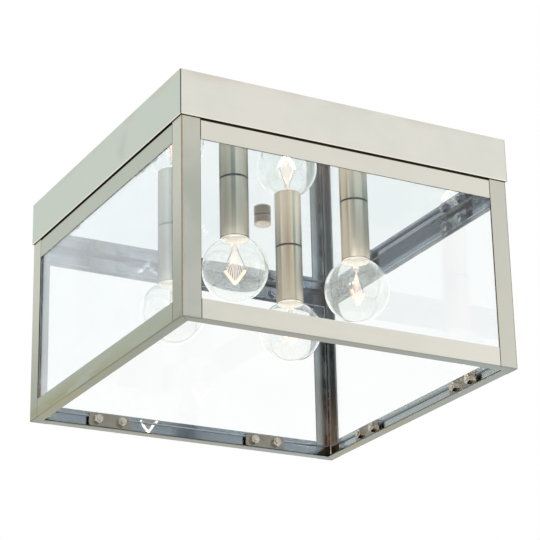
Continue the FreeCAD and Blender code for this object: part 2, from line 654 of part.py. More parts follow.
def lamp_groups():
    """The pieces that the four lamps have in like copies, one group to a node."""
    lamps = range(len(CORNERS))
    return {
        "lampholder_contacts": Part.makeCompound([at_lamp(lampholder_contact(), k) for k in lamps]),
        "lampholder_nipples": Part.makeCompound([at_lamp(lampholder_nipple(), k) for k in lamps]),
        "lampholder_lock_nuts": Part.makeCompound([at_lamp(lock_nut(PAN_UNDER), k) for k in lamps]),
    }


def lantern_parts():
    """The posts, rails and panes, by node name."""
    parts = {}
    for k, corner in enumerate(CORNERS):
        parts[f"corner_post_{corner}"] = turned(corner_post(), k)
    for k, side in enumerate(SIDES):
        parts[f"top_rail_{side}"] = turned(top_rail(), k)
        parts[f"bottom_rail_{side}"] = turned(bottom_rail(), k)
        parts[f"glass_pane_{side}"] = turned(glass_pane(), k)
    return parts


def all_parts():
    """Every node of the light, by name."""
    parts = {
        "canopy_pan": canopy_pan(),
        "reflector_plate": reflector_plate(),
        "frame_screws": frame_screws(),
        "clip_studs": clip_studs(),
        "clip_plates": clip_plates(),
        "clip_nuts": clip_nuts(),
        "crossbar": crossbar(),
        "crossbar_lock_nut": moved(lock_nut(0), 0, 0, CROSSBAR_COLLAR_END - LOCK_NUT_THICKNESS),
        "ground_screw": ground_screw(),
        "centre_nipple": centre_nipple(),
        "finial_washer": finial_washer(),
        "knurled_finial": knurled_finial(),
    }
    parts.update(lantern_parts())
    parts.update(lamp_groups())
    for k in range(len(CORNERS)):
        parts.update(lamp_parts(k))
    return parts


def main():
    """Writes one STEP file for each node."""
    os.makedirs("parts", exist_ok=True)
    for name, shape in all_parts().items():
        if not shape.isValid():
            raise ValueError(f"{name} is not a valid shape")
        shape.exportStep(f"parts/{name}.step")
        print(name, len(shape.Solids), "solids", round(shape.Volume, 1), "mm3")


main()
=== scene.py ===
import logging
import math
from dataclasses import dataclass, field
from enum import Enum

import bmesh
import bpy
import numpy as np
from mathutils import Matrix, Vector


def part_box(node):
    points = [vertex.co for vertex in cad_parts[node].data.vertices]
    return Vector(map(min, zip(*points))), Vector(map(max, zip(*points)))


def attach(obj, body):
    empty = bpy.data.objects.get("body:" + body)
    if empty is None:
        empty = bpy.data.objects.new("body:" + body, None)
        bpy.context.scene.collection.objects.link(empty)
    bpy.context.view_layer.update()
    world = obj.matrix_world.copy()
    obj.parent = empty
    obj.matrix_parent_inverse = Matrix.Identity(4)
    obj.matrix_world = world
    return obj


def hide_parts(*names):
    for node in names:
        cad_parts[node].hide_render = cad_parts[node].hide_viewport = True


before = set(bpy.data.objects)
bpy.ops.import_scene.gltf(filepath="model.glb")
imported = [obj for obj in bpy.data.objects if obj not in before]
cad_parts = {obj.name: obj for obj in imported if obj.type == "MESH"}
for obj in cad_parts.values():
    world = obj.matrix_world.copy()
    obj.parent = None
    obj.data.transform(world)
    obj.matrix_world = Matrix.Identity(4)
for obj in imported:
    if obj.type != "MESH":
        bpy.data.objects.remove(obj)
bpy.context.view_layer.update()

# Looks of a flush ceiling light: a square glass lantern under a brushed nickel pan.
# Metres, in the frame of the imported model: the ceiling is at z = 0 and +Z points up.

LOG = logging.getLogger("ceiling_light")
Array = np.ndarray
Colour = tuple[float, float, float]
Place = tuple[float, float, float]
Socket = bpy.types.NodeSocket
Object = bpy.types.Object
Material = bpy.types.Material

MM = 0.001
FULL_TURN = 2 * math.pi
WELD_DISTANCE = 0.002 * MM
SCRATCH_HEIGHT = 0.1 * MM
SIDES = ("front", "right", "back", "left")
CORNERS = ("front_left", "front_right", "back_right", "back_left")


class Grain(Enum):
    """The way a metal was brushed."""

    ALONG_X = "along x"
    ALONG_Y = "along y"
    ALONG_Z = "along z"
    ALONG_WALLS = "along the walls"


class Tone(Enum):
    """Tones of the painted reflections drawn as bands along a satin sleeve; SHADE is their painted shade."""

    SHADE = (0.09, 0.09, 0.075)
    OLIVE = (0.36, 0.37, 0.28)
    STONE = (0.55, 0.55, 0.46)
    BEIGE = (0.74, 0.62, 0.44)
    TAN = (0.54, 0.38, 0.24)
    PALE = (0.95, 0.82, 0.63)
    MAUVE = (0.56, 0.45, 0.38)
    GREEN = (0.26, 0.32, 0.26)
    MIST = (0.70, 0.74, 0.63)


Bands = tuple[tuple[float, Tone], ...]


def dimmed(colour: Colour, share: float) -> Colour:
    """A colour times a number."""
    return tuple(part * share for part in colour)


# Mesh tools


def grid_quads(rows: int, columns: int) -> Array:
    """The quads of a grid of points stored row by row, whose last column joins the first.

    Args:
        rows: Number of rows.
        columns: Number of points in a row.

    Returns:
        One row of four point numbers for each quad.
    """
    row, column = np.meshgrid(np.arange(rows - 1), np.arange(columns), indexing="ij")
    after = (column + 1) % columns
    low, high = row * columns, (row + 1) * columns
    return np.stack([low + column, low + after, high + after, high + column], axis=-1).reshape(-1, 4)


@dataclass
class Surface:
    """Grids of points that together make one piece."""

    points: list[Array] = field(default_factory=list)
    quads: list[Array] = field(default_factory=list)

    def add(self, grid: Array) -> None:
        """Adds a grid of points, given as rows, columns and three coordinates."""
        start = sum(len(part) for part in self.points)
        self.points.append(grid.reshape(-1, 3))
        self.quads.append(grid_quads(*grid.shape[:2]) + start)

    def make(self, name: str, material: Material, smooth_degrees: float) -> Object:
        """Puts the grids into a mesh, closes seams and poles, and turns its faces outwards.

        Args:
            name: Name of the piece.
            material: Its finish.
            smooth_degrees: Edges sharper than this stay sharp.

        Returns:
            The object, which sits at the origin.
        """
        points, quads = np.concatenate(self.points), np.concatenate(self.quads)
        mesh = bpy.data.meshes.new(name)
        mesh.vertices.add(len(points))
        mesh.vertices.foreach_set("co", points.astype(np.float32).ravel())
        mesh.loops.add(quads.size)
        mesh.loops.foreach_set("vertex_index", quads.astype(np.int32).ravel())
        mesh.polygons.add(len(quads))
        mesh.polygons.foreach_set("loop_start", np.arange(0, quads.size, 4, dtype=np.int32))
        mesh.update(calc_edges=True)
        tidy = bmesh.new()
        tidy.from_mesh(mesh)
        bmesh.ops.remove_doubles(tidy, verts=tidy.verts, dist=WELD_DISTANCE)
        bmesh.ops.recalc_face_normals(tidy, faces=tidy.faces)
        tidy.to_mesh(mesh)
        tidy.free()
        mesh.polygons.foreach_set("use_smooth", np.ones(len(mesh.polygons), dtype=bool))
        mesh.set_sharp_from_angle(angle=math.radians(smooth_degrees))
        mesh.materials.append(material)
        piece = bpy.data.objects.new(name, mesh)
        bpy.context.scene.collection.objects.link(piece)
        return piece


def revolved(profile: Array, centre: Array, columns: int) -> Array:
    """A profile turned about a vertical axis: x = r cos a, y = r sin a, z kept, for a whole turn of a.

    Args:
        profile: Pairs of radius and height, one row each.
        centre: The axis as x and y.
        columns: Number of steps round the axis.

    Returns:
        A grid of points, one row for each pair.
    """
    angle = np.arange(columns) * FULL_TURN / columns
    radius, height = profile[:, :1], profile[:, 1:]
    x = centre[0] + radius * np.cos(angle)
    y = centre[1] + radius * np.sin(angle)
    return np.stack([x, y, np.broadcast_to(height, x.shape)], axis=-1)


def arc_profile(centre: tuple[float, float], radius: float, start: float, end: float, steps: int) -> Array:
    """Points of a circular arc in a plane of radius and height.

    Args:
        centre: Radius and height of the arc's centre.
        radius: Radius of the arc.
        start: First angle in radians, from the outward direction towards up.
        end: Last angle.
        steps: Number of points.

    Returns:
        Pairs of radius and height.
    """
    angle = np.linspace(start, end, steps)
    return np.stack([centre[0] + radius * np.cos(angle), centre[1] + radius * np.sin(angle)], axis=-1)


def swept(path: Array, side: Array, radius: Array | float, columns: int) -> Array:
    """A closed round wire: each ring is path + r (cos a N + sin a B), with N and B square to the path.

    Args:
        path: Points of the centreline.
        side: A direction for each point, or one for all, that never runs along the path.
        radius: Radius of the wire, one value or one for each point.
        columns: Points in a ring.

    Returns:
        A grid of points, one ring for each point of the path and a point at each end.
    """
    along = np.gradient(path, axis=0)
    along /= np.linalg.norm(along, axis=1, keepdims=True)
    side = np.broadcast_to(side, path.shape)
    normal = side - along * np.sum(side * along, axis=1, keepdims=True)
    normal /= np.linalg.norm(normal, axis=1, keepdims=True)
    binormal = np.cross(along, normal)
    angle = (np.arange(columns) * FULL_TURN / columns)[None, :, None]
    reach = np.broadcast_to(np.asarray(radius, dtype=float), (len(path),))[:, None, None]
    ring = np.cos(angle) * normal[:, None, :] + np.sin(angle) * binormal[:, None, :]
    return capped(path[:, None, :] + reach * ring)


def capped(grid: Array) -> Array:
    """A closed tube's grid with its first and last ring drawn together to a point at their middle."""
    first = np.broadcast_to(grid[:1].mean(axis=1, keepdims=True), grid[:1].shape)
    last = np.broadcast_to(grid[-1:].mean(axis=1, keepdims=True), grid[-1:].shape)
    return np.concatenate([first, grid, last])


def rounded_rectangle(half_width: float, half_height: float, radius: float, steps: int = 5) -> Array:
    """The outline of a rectangle whose corners are quarter circles.

    Args:
        half_width: Half the first side.
        half_height: Half the second side.
        radius: Radius of the corners.
        steps: Points in a corner.

    Returns:
        Points as pairs, anticlockwise.
    """
    turn = np.linspace(0, FULL_TURN / 4, steps)[None, :] + np.arange(4)[:, None] * FULL_TURN / 4
    sign_x, sign_y = np.array([[1], [-1], [-1], [1]]), np.array([[1], [1], [-1], [-1]])
    x = sign_x * (half_width - radius) + radius * np.cos(turn)
    y = sign_y * (half_height - radius) + radius * np.sin(turn)
    return np.stack([x.ravel(), y.ravel()], axis=-1)


def smooth_step(share: Array) -> Array:
    """The step 3 s^2 - 2 s^3, for s from 0 to 1."""
    return share * share * (3 - 2 * share)


# Shader tools


class Value:
    """A number, vector or colour in a node tree: each sign of arithmetic and each method adds its node."""

    def __init__(self, graph: "Graph", socket: Socket) -> None:
        """Keeps the graph and the socket that gives the value."""
        self.graph, self.socket = graph, socket

    def math(self, operation: str, *others: object) -> "Value":
        """A number worked out from this one and up to one other."""
        made = self.graph.node("ShaderNodeMath", self, *others, operation=operation)
        return Value(self.graph, made.outputs[0])

    def __add__(self, other: object) -> "Value":
        """The sum."""
        return self.math("ADD", other)

    def __sub__(self, other: object) -> "Value":
        """The difference."""
        return self.math("SUBTRACT", other)

    def __rsub__(self, other: float) -> "Value":
        """A plain number less this one."""
        made = self.graph.node("ShaderNodeMath", other, self, operation="SUBTRACT")
        return Value(self.graph, made.outputs[0])

    def __mul__(self, other: object) -> "Value":
        """The product."""
        return self.math("MULTIPLY", other)

    def __truediv__(self, other: object) -> "Value":
        """The quotient."""
        return self.math("DIVIDE", other)

    def __pow__(self, power: float) -> "Value":
        """The power."""
        return self.math("POWER", power)

    def __abs__(self) -> "Value":
        """The size without its sign."""
        return self.math("ABSOLUTE")

    def __gt__(self, other: object) -> "Value":
        """1 where this is the larger, else 0."""
        return self.math("GREATER_THAN", other)

    def __lt__(self, other: object) -> "Value":
        """1 where this is the smaller, else 0."""
        return self.math("LESS_THAN", other)

    def max(self, other: object) -> "Value":
        """The larger of two."""
        return self.math("MAXIMUM", other)

    def min(self, other: object) -> "Value":
        """The smaller of two."""
        return self.math("MINIMUM", other)

    def ramp(self, low: float, high: float, to_low: object = 0.0, to_high: object = 1.0) -> "Value":
        """A smooth step from to_low at low to to_high at high."""
        made = self.graph.node("ShaderNodeMapRange", self, low, high, to_low, to_high,
                               interpolation_type="SMOOTHSTEP")
        return Value(self.graph, made.outputs[0])

    def mix(self, first: object, second: object) -> "Value":
        """The colour at this share of the way from the first to the second."""
        made = self.graph.node("ShaderNodeMix", self, data_type="RGBA")
        self.graph.feed(made.inputs[6], first)
        self.graph.feed(made.inputs[7], second)
        return Value(self.graph, made.outputs[2])

    def blend(self, first: object, second: object) -> "Value":
        """The number at this share of the way from the first to the second."""
        made = self.graph.node("ShaderNodeMix", self, data_type="FLOAT")
        self.graph.feed(made.inputs[2], first)
        self.graph.feed(made.inputs[3], second)
        return Value(self.graph, made.outputs[0])

    def vector(self, operation: str, *others: object) -> "Value":
        """A vector worked out with another, or the number that a dot product or a length gives."""
        made = self.graph.node("ShaderNodeVectorMath", self, *others, operation=operation)
        output = "Value" if operation in ("DOT_PRODUCT", "LENGTH") else "Vector"
        return Value(self.graph, made.outputs[output])

    def length(self) -> "Value":
        """The length of a vector."""
        return self.vector("LENGTH")

    def scaled(self, scale: object) -> "Value":
        """A vector times a number."""
        made = self.graph.node("ShaderNodeVectorMath", self, operation="SCALE")
        return Value(self.graph, self.graph.fill(made, Scale=scale).outputs[0])

    def split(self) -> list["Value"]:
        """The three parts of a vector."""
        return [Value(self.graph, part) for part in self.graph.node("ShaderNodeSeparateXYZ", self).outputs]

    def beside(self) -> "Value":
        """The larger of a vector's first two parts, without their signs."""
        x, y, _ = self.split()
        return abs(x).max(abs(y))

    def nearer(self) -> "Value":
        """The smaller of a vector's first two parts, without their signs."""
        x, y, _ = self.split()
        return abs(x).min(abs(y))

    def off_corner(self) -> "Value":
        """How far a point lies from the diagonal planes through the model's middle."""
        x, y, _ = self.split()
        return abs(abs(x) - abs(y)) * math.sqrt(0.5)

    def noise(self, scale: float, detail: float = 3.0, roughness: float = 0.55) -> "Value":
        """Smooth noise from 0 to 1 at a point."""
        made = self.graph.fill(self.graph.node("ShaderNodeTexNoise"), Vector=self, Scale=scale, Detail=detail,
                               Roughness=roughness)
        return Value(self.graph, made.outputs["Fac"])

    def grain(self, stretch: object) -> list["Value"]:
        """The shade and height of brushed grain at a point."""
        return self.graph.group("brushed_grain", Vector=self, Stretch=stretch)

    def tarnish(self, scale: float) -> "Value":
        """Soft patches at a point."""
        return self.graph.group("cloudy_tarnish", Vector=self, Scale=scale)[0]

    def seam(self, distance: "Value", width: float) -> "Value":
        """A thin line at a point, where a distance is zero."""
        return self.graph.group("seam_line", Vector=self, Distance=distance, Width=width)[0]

    def bumped(self, strength: float, distance: float) -> "Value":
        """A normal from a height: strength is how much counts, and distance what a height of 1 is."""
        made = self.graph.node("ShaderNodeBump")
        self.graph.fill(made, Strength=strength, Distance=distance, Height=self)
        return Value(self.graph, made.outputs[0])


class Graph:
    """Adds nodes to a node tree and links them."""

    def __init__(self, tree: bpy.types.NodeTree) -> None:
        """Keeps the node tree of a material, world or group, and clears it."""
        self.tree = tree
        tree.nodes.clear()

    def node(self, kind: str, *values: object, **settings: object) -> bpy.types.Node:
        """Adds one node.

        Args:
            kind: Its type, such as ShaderNodeMath.
            values: What its first inputs get, in order.
            settings: Properties to set on it.

        Returns:
            The node.
        """
        made = self.tree.nodes.new(kind)
        for name, value in settings.items():
            setattr(made, name, value)
        for target, value in zip(made.inputs, values):
            self.feed(target, value)
        return made

    def feed(self, target: Socket, value: object) -> None:
        """Links a value to an input, or sets the input's own number, vector or colour."""
        if isinstance(value, Value):
            value = value.socket
        if isinstance(value, bpy.types.NodeSocket):
            self.tree.links.new(value, target)
        elif target.type == "RGBA" and len(value) == 3:
            target.default_value = (*value, 1.0)
        else:
            target.default_value = value

    def fill(self, node: bpy.types.Node, **values: object) -> bpy.types.Node:
        """Feeds a node's inputs by name, with underscores for spaces, and gives the node back."""
        for name, value in values.items():
            self.feed(node.inputs[name.replace("_", " ")], value)
        return node

    def read(self, kind: str, output: str) -> Value:
        """One output of a new node."""
        return Value(self, self.node(kind).outputs[output])

    def ray(self, output: str) -> Value:
        """What is known of the ray that sees the surface."""
        return self.read("ShaderNodeLightPath", output)

    def place(self) -> Value:
        """The point on the surface in the model's frame, in metres."""
        return self.read("ShaderNodeTexCoord", "Object")

    def facing(self) -> Value:
        """The direction that the surface faces."""
        return self.read("ShaderNodeNewGeometry", "True Normal")

    def join(self, *parts: object) -> Value:
        """A vector from three parts."""
        return Value(self, self.node("ShaderNodeCombineXYZ", *parts).outputs[0])

    def group(self, name: str, **values: object) -> list[Value]:
        """The outputs of a shared node group whose inputs get these values."""
        made = self.node("ShaderNodeGroup", node_tree=bpy.data.node_groups[name])
        return [Value(self, output) for output in self.fill(made, **values).outputs]


def begin_group(name: str, inputs: dict[str, str], outputs: tuple[str, ...]) -> tuple[Graph, list, list]:
    """Starts a node group with named sockets.

    Args:
        name: Name of the group.
        inputs: Kind of each input by name: Vector or Float.
        outputs: Name of each output, all of them numbers.

    Returns:
        The graph, the group's inputs as values, and its output sockets, in order.
    """
    tree = bpy.data.node_groups.new(name, "ShaderNodeTree")
    for names, way in ((inputs, "INPUT"), (dict.fromkeys(outputs, "Float"), "OUTPUT")):
        for socket, kind in names.items():
            tree.interface.new_socket(name=socket, in_out=way, socket_type=f"NodeSocket{kind}")
    graph = Graph(tree)
    source, target = graph.node("NodeGroupInput"), graph.node("NodeGroupOutput")
    return graph, [Value(graph, source.outputs[n]) for n in inputs], [target.inputs[n] for n in outputs]


def build_brushed_grain() -> None:
    """Fine scratches: noise squeezed across the way of brushing, in a fine and a coarse layer."""
    graph, (place, stretch), (shade, height) = begin_group(
        "brushed_grain", {"Vector": "Vector", "Stretch": "Vector"}, ("Shade", "Height"))
    stretched = place.vector("MULTIPLY", stretch)
    fine, coarse = stretched.noise(2.6, 4.0, 0.65), stretched.noise(0.3, 2.0, 0.5)
    graph.feed(shade, (fine * 0.7 + coarse * 0.3).ramp(0.30, 0.70))
    graph.feed(height, fine)


def build_cloudy_tarnish() -> None:
    """Soft patches where handling and lacquer have changed the metal's tone."""
    graph, (place, scale), (mask,) = begin_group(
        "cloudy_tarnish", {"Vector": "Vector", "Scale": "Float"}, ("Mask",))
    scaled = place.scaled(scale)
    warp = scaled.noise(1.0, 2.0)
    shifted = scaled.vector("ADD", graph.join(warp, warp, warp))
    graph.feed(mask, shifted.noise(1.3, 4.0, 0.6).ramp(0.36, 0.66))


def build_seam_line() -> None:
    """A thin line where a distance is zero: 1 on the seam and 0 past the width, broken up a little."""
    graph, (place, distance, width), (mask,) = begin_group(
        "seam_line", {"Vector": "Vector", "Distance": "Float", "Width": "Float"}, ("Mask",))
    ragged = width * (place.noise(700.0, 2.0) * 0.7 + 0.65)
    graph.feed(mask, (abs(distance) / ragged).ramp(0.5, 1.0, 1.0, 0.0))


# Finishes


# Scale of the grain along and across the way of brushing
LONG, SHORT = 20.0, 2200.0
GRAIN_STRETCH = {
    Grain.ALONG_X: (LONG, SHORT, SHORT),
    Grain.ALONG_Y: (SHORT, LONG, SHORT),
    Grain.ALONG_Z: (SHORT, SHORT, LONG),
}


@dataclass(frozen=True)
class Finish:
    """A named finish, which works out what feeds its material's Principled shader."""

    name: str

    def inputs(self, graph: Graph, place: Value) -> dict[str, object]:
        """What feeds the shader's inputs, by name with underscores for spaces."""
        raise NotImplementedError

    def surface(self, graph: Graph, shader: Socket) -> Socket:
        """What reaches the material's output: the shader as it is."""
        return shader

    def build(self) -> Material:
        """The material."""
        material = bpy.data.materials.new(self.name)
        material.use_nodes = True
        graph = Graph(material.node_tree)
        shader = graph.node("ShaderNodeBsdfPrincipled")
        graph.fill(shader, **self.inputs(graph, graph.place()))
        graph.node("ShaderNodeOutputMaterial", self.surface(graph, shader.outputs[0]))
        return material


@dataclass(frozen=True)
class BrushedMetal(Finish):
    """A plated metal with a brushed grain, soft patches, and painted side shading: a tone of its own on faces
    that look along x.
    """

    colour: Colour
    patch: Colour
    sideways: Colour | None = None
    roughness: float = 0.34
    grain: Grain = Grain.ALONG_X
    grain_share: float = 0.10
    grain_depth: float = 0.06
    patch_scale: float = 14.0

    def across(self, graph: Graph) -> Value:
        """1 on faces that look along x, 0 elsewhere."""
        return abs(graph.facing().split()[0]) > 0.7

    def brushed(self, graph: Graph, place: Value) -> list[Value]:
        """The grain's shade and height, which on a pan's walls runs level all round."""
        if self.grain is not Grain.ALONG_WALLS:
            return place.grain(GRAIN_STRETCH[self.grain])
        swap = self.across(graph) * (SHORT - LONG)
        return place.grain(graph.join(swap + LONG, SHORT - swap, SHORT))

    def coloured(self, graph: Graph, place: Value, shade: Value) -> Value:
        """The metal's colour: its tones in patches, the painted side shading, and darker along the scratches.
        """
        tone = place.tarnish(self.patch_scale).mix(self.colour, self.patch)
        # Painted side shading: faces that look along x take the tone of the light or shade on that side.
        if self.sideways is not None:
            tone = (self.across(graph) * 0.9).mix(tone, self.sideways)
        return ((1.0 - shade) * self.grain_share).mix(tone, dimmed(self.colour, 0.35))

    def rough(self, shade: Value) -> Value:
        """The roughness, which the scratches vary."""
        return shade * 0.08 + (self.roughness - 0.04)

    def inputs(self, graph: Graph, place: Value) -> dict[str, object]:
        """The shader's inputs."""
        shade, height = self.brushed(graph, place)
        return {"Metallic": 1.0, "Base_Color": self.coloured(graph, place, shade),
                "Roughness": self.rough(shade), "Normal": height.bumped(self.grain_depth, SCRATCH_HEIGHT)}


@dataclass(frozen=True, kw_only=True)
class PanNickel(BrushedMetal):
    """Brushed nickel on the pan: a dark line down each soldered corner, partly the seam and partly a painted
    reflection in the bend, a painted highlight on the pale lower bend with painted shade under it, and a warm
    rim.
    """

    under: float
    seam_width: float = 0.6 * MM
    bend: float = 0.8 * MM
    rim_reach: float = 9 * MM
    smudge_place: Place = (-140 * MM, -40 * MM, -20 * MM)
    smudge_reach: float = 16 * MM
    # seam colours the corner lines and the painted shade under the lower edge; pale is a painted highlight.
    seam: Colour = (0.13, 0.12, 0.105)
    pale: Colour = (0.90, 0.84, 0.70)
    rim: Colour = (0.62, 0.53, 0.44)

    def coloured(self, graph: Graph, place: Value, shade: Value) -> Value:
        """The metal's colour with the warm rim, the painted highlight on the pale bend, one smudge, and the
        dark lines of the corners and of the painted shade.
        """
        z = place.split()[2]
        uneven = place.noise(22.0, 2.0)
        warm = z.ramp(-self.rim_reach, 0.0) * uneven.ramp(0.35, 0.7) * 0.5
        # Painted highlight on the pale lower bend.
        lower = z.ramp(self.under + self.bend * 0.6, self.under + self.bend, 0.8, 0.0)
        off = place.vector("SUBTRACT", self.smudge_place).length()
        spot = off.ramp(0.0, self.smudge_reach, 0.5, 0.0) * uneven.ramp(0.4, 0.6)
        # Painted shade under the lower edge, and down each corner a line that is partly the seam and partly a
        # painted reflection.
        foot = place.seam(z - self.under, self.bend * 0.12)
        dark = place.seam(place.off_corner(), self.seam_width).max(foot)
        colour = lower.mix(warm.mix(super().coloured(graph, place, shade), self.rim), self.pale)
        return dark.mix(spot.mix(colour, dimmed(self.colour, 0.6)), self.seam)


@dataclass(frozen=True, kw_only=True)
class FrameNickel(BrushedMetal):
    """The lantern frame's nickel: brushed outside, greener below, and inside a painted blue reflection under
    clear lacquer.

    A dark line follows each joint; the line down the outer edge of each post is a painted reflection, and the
    inner corners carry painted shade.
    """

    half: float
    sheet: float = 1.2 * MM
    bottom: float
    joint: float
    joint_width: float = 0.42 * MM
    edge_width: float = 0.0
    arris_width: float = 1.1 * MM
    top: float
    bend_start: float = 0.9 * MM
    bend_end: float = 0.3 * MM
    # Reach, share, height and waver of the painted corner shade, then the rise and waver of the painted shade
    # at the foot.
    corner_shade_reach: float = 11 * MM
    stained: float = 0.0
    corner_shade_height: float = 75 * MM
    corner_shade_waver: float = 4 * MM
    foot_shade_start: float = 14 * MM
    foot_shade_end: float = 16 * MM
    foot_shade_waver: float = 3 * MM
    cloud_half: float = 90 * MM
    cloud_start: float = 2 * MM
    cloud_end: float = 16 * MM
    flange: float = 8.3 * MM
    lip_margin: float = 0.1 * MM
    # Painted light and shade: low_tone, high_tone, bend_tone, the below tones, olive, the inside tones, foot,
    # edge, arris_tone, umber and amber; seam is the joints' own dark colour and also painted shade.
    low_tone: Colour = (0.345, 0.345, 0.30)
    high_tone: Colour = (0.60, 0.585, 0.51)
    bend_tone: Colour = (0.88, 0.83, 0.74)
    foot: Colour = (0.055, 0.05, 0.03)
    below: Colour = (0.315, 0.325, 0.275)
    below_right: Colour = (0.305, 0.345, 0.325)
    below_left: Colour = (0.265, 0.29, 0.24)
    olive: Colour = (0.33, 0.31, 0.16)
    inside: Colour = (0.17, 0.225, 0.28)
    inside_patch: Colour = (0.245, 0.295, 0.35)
    inside_low: Colour = (0.255, 0.265, 0.25)
    dulled: float
    inner_rough: float = 0.15
    lacquer_rough: float = 0.02
    polish_place: float = -35 * MM
    polish_reach: float = 26 * MM
    polished: float = 0.0
    seam: Colour = (0.055, 0.04, 0.025)
    edge: Colour = (0.22, 0.16, 0.09)
    arris_tone: Colour = (0.20, 0.205, 0.15)
    stain: Colour = (0.17, 0.066, 0.004)
    umber: Colour = (0.045, 0.040, 0.032)

    def inner(self, graph: Graph, place: Value) -> tuple[Value, Value, Value]:
        """The colour, roughness and lacquer inside: a streaked painted blue reflection, with painted shade in
        the back corners, browned low down, and dark at the foot.
        """
        x, y, z = place.split()
        patches = place.tarnish(26.0)
        streaks = place.vector("MULTIPLY", (500.0, 500.0, 6.0)).noise(1.0, 2.0)
        # The inside colours are a painted reflection: streaked blue-grey, with another tone low down.
        colour = ((patches + streaks) * 0.5).ramp(0.25, 0.75).mix(self.inside, self.inside_patch)
        colour = z.ramp(self.bottom * 0.65, self.bottom * 0.4, self.dulled, 0.0).mix(colour, self.inside_low)
        # Painted shade in the inner corners, stronger towards the back: umber higher up, amber-brown low
        # down.
        behind = y.ramp(0.0, self.half * 0.8, 0.25, 1.0)
        corner = self.half - self.sheet
        away = graph.join(corner - abs(x), corner - abs(y), 0.0).length()
        reach = (x < 0.0).blend(self.corner_shade_reach * 0.5, self.corner_shade_reach)
        reach = self.across(graph).blend(reach, self.corner_shade_reach * 3.6)
        ragged = away + (patches - 0.5) * self.corner_shade_waver
        near = (ragged / reach).ramp(0.35, 1.0, self.stained, 0.0) * behind
        low = z.ramp(self.bottom + self.corner_shade_height * 0.25, self.bottom + self.corner_shade_height, 1.0, 0.0)
        colour = near.mix(colour, low.mix(self.umber, self.stain))
        # Painted shade at the foot of the inner faces, by the flange, reaching higher near the corners.
        rise = z - self.bottom + away * 0.75
        foot_shade = (rise + patches * self.foot_shade_waver).ramp(self.foot_shade_start, self.foot_shade_end, 0.9, 0.0) * behind
        rough = patches * 0.03 + near * 0.12 + self.inner_rough + foot_shade * 0.25
        aside = abs(x - self.polish_place)
        buffed = aside.ramp(self.polish_reach * 0.5, self.polish_reach, self.polished, 0.0)
        buffed = buffed * z.ramp(self.bottom * 0.7, self.bottom * 0.4, 1.0, 0.55)
        return foot_shade.mix(colour, self.foot), rough * (1.0 - buffed), 1.0 - near.max(foot_shade)

    def lined(self, place: Value, colour: Value) -> Value:
        """The outer colour with the dark lines of its joints; on a post a painted reflection down its outer
        arris and painted shade along its top, on a rail a painted highlight on its pale upper bend.
        """
        z = place.split()[2]
        colour = place.seam(place.nearer() - self.joint, self.joint_width).mix(colour, self.seam)
        if not self.edge_width:
            # Painted highlight on a rail's upper bend.
            bend = z.ramp(self.top - self.bend_start, self.top - self.bend_end, 0.0, 0.7)
            return bend.mix(colour, self.bend_tone)
        # Painted dark reflection down a post's outer arris, and painted shade along its top.
        arris = place.seam(place.off_corner(), self.edge_width) * 0.9
        return place.seam(z - self.top, self.edge_width).mix(arris.mix(colour, self.edge), self.seam)

    def edged(self, graph: Graph, place: Value, colour: Value) -> Value:
        """The outer colour with a painted dark reflection along the lower arris and a clouded painted olive
        reflection on the side rails.
        """
        x, y, z = place.split()
        rise, side = z - self.bottom, abs(x) > abs(y)
        off = graph.join(rise, self.half - place.beside(), 0.0).length()
        # Painted dark reflection along the lower arris.
        colour = (place.seam(off, self.arris_width) * side.blend(0.2, 0.9)).mix(colour, self.arris_tone)
        # Painted olive reflection on the side rails, broken into streaks.
        streaks = place.vector("MULTIPLY", (60.0, 25.0, 160.0)).noise(1.0, 3.0)
        cloud = y.ramp(-self.cloud_half, self.cloud_half, 0.25, 1.0)
        cloud = cloud * rise.ramp(self.cloud_start, self.cloud_end, 1.0, 0.0) * side
        return (cloud * streaks.ramp(0.34, 0.58, 0.0, 0.85)).mix(colour, self.olive)

    def drifted(self, graph: Graph, place: Value, colour: Value) -> Value:
        """The outer colour with painted reflections: darker low down on the sides and warmer near the top of
        the front.
        """
        x, _, z = place.split()
        across = self.across(graph)
        # Painted reflections: low_tone low down on faces that look along x, high_tone high up and towards +x.
        low = z.ramp(self.bottom, self.bottom * 0.4, 0.85, 0.0) * across
        high = z.ramp(self.bottom * 0.5, self.top * 1.3, 0.0, 0.55)
        far = x.ramp(-self.half * 0.6, self.half * 0.9, 0.0, 0.8)
        return (high.max(far) * (1.0 - across)).mix(low.mix(colour, self.low_tone), self.high_tone)

    def cut(self, graph: Graph, place: Value, colour: Value) -> Value:
        """The colour with painted shade on the down-facing cut edge below a top rail, blacker in specks."""
        z = place.split()[2]
        level = (z > self.bottom * 0.5) * (z < self.top - self.flange)
        specks = place.noise(260.0, 2.0).ramp(0.4, 0.6, 0.6, 1.0)
        return ((graph.facing().split()[2] < -0.7) * level * specks).mix(colour, self.seam)

    def inputs(self, graph: Graph, place: Value) -> dict[str, object]:
        """The shader's inputs, whose zones follow the place on the frame."""
        x, _, z = place.split()
        beside = place.beside()
        shade, height = self.brushed(graph, place)
        outside = beside.ramp(self.half - self.sheet * 0.75, self.half - self.sheet * 0.45)
        under = z.ramp(self.bottom + self.sheet * 0.25, self.bottom + self.sheet * 0.5, 1.0, 0.0)
        outer = self.lined(place, self.drifted(graph, place, self.coloured(graph, place, shade)))
        # Painted shade on the down-facing underside, with painted reflections bluer to the right and greener
        # to the left.
        below = x.ramp(0.0, self.half * 0.9).mix(self.below, self.below_right)
        below = x.ramp(-self.half, -self.half * 0.85, 1.0, 0.0).mix(below, self.below_left)
        # On a post, a painted shade line along the outer edge of its underside.
        if self.edge_width:
            below = place.seam(beside - (self.half - self.sheet), self.edge_width).mix(below, self.seam)
        outer = self.edged(graph, place, under.mix(outer, below))
        shown = outside.max(under)
        inner, inner_rough, lacquer = self.inner(graph, place)
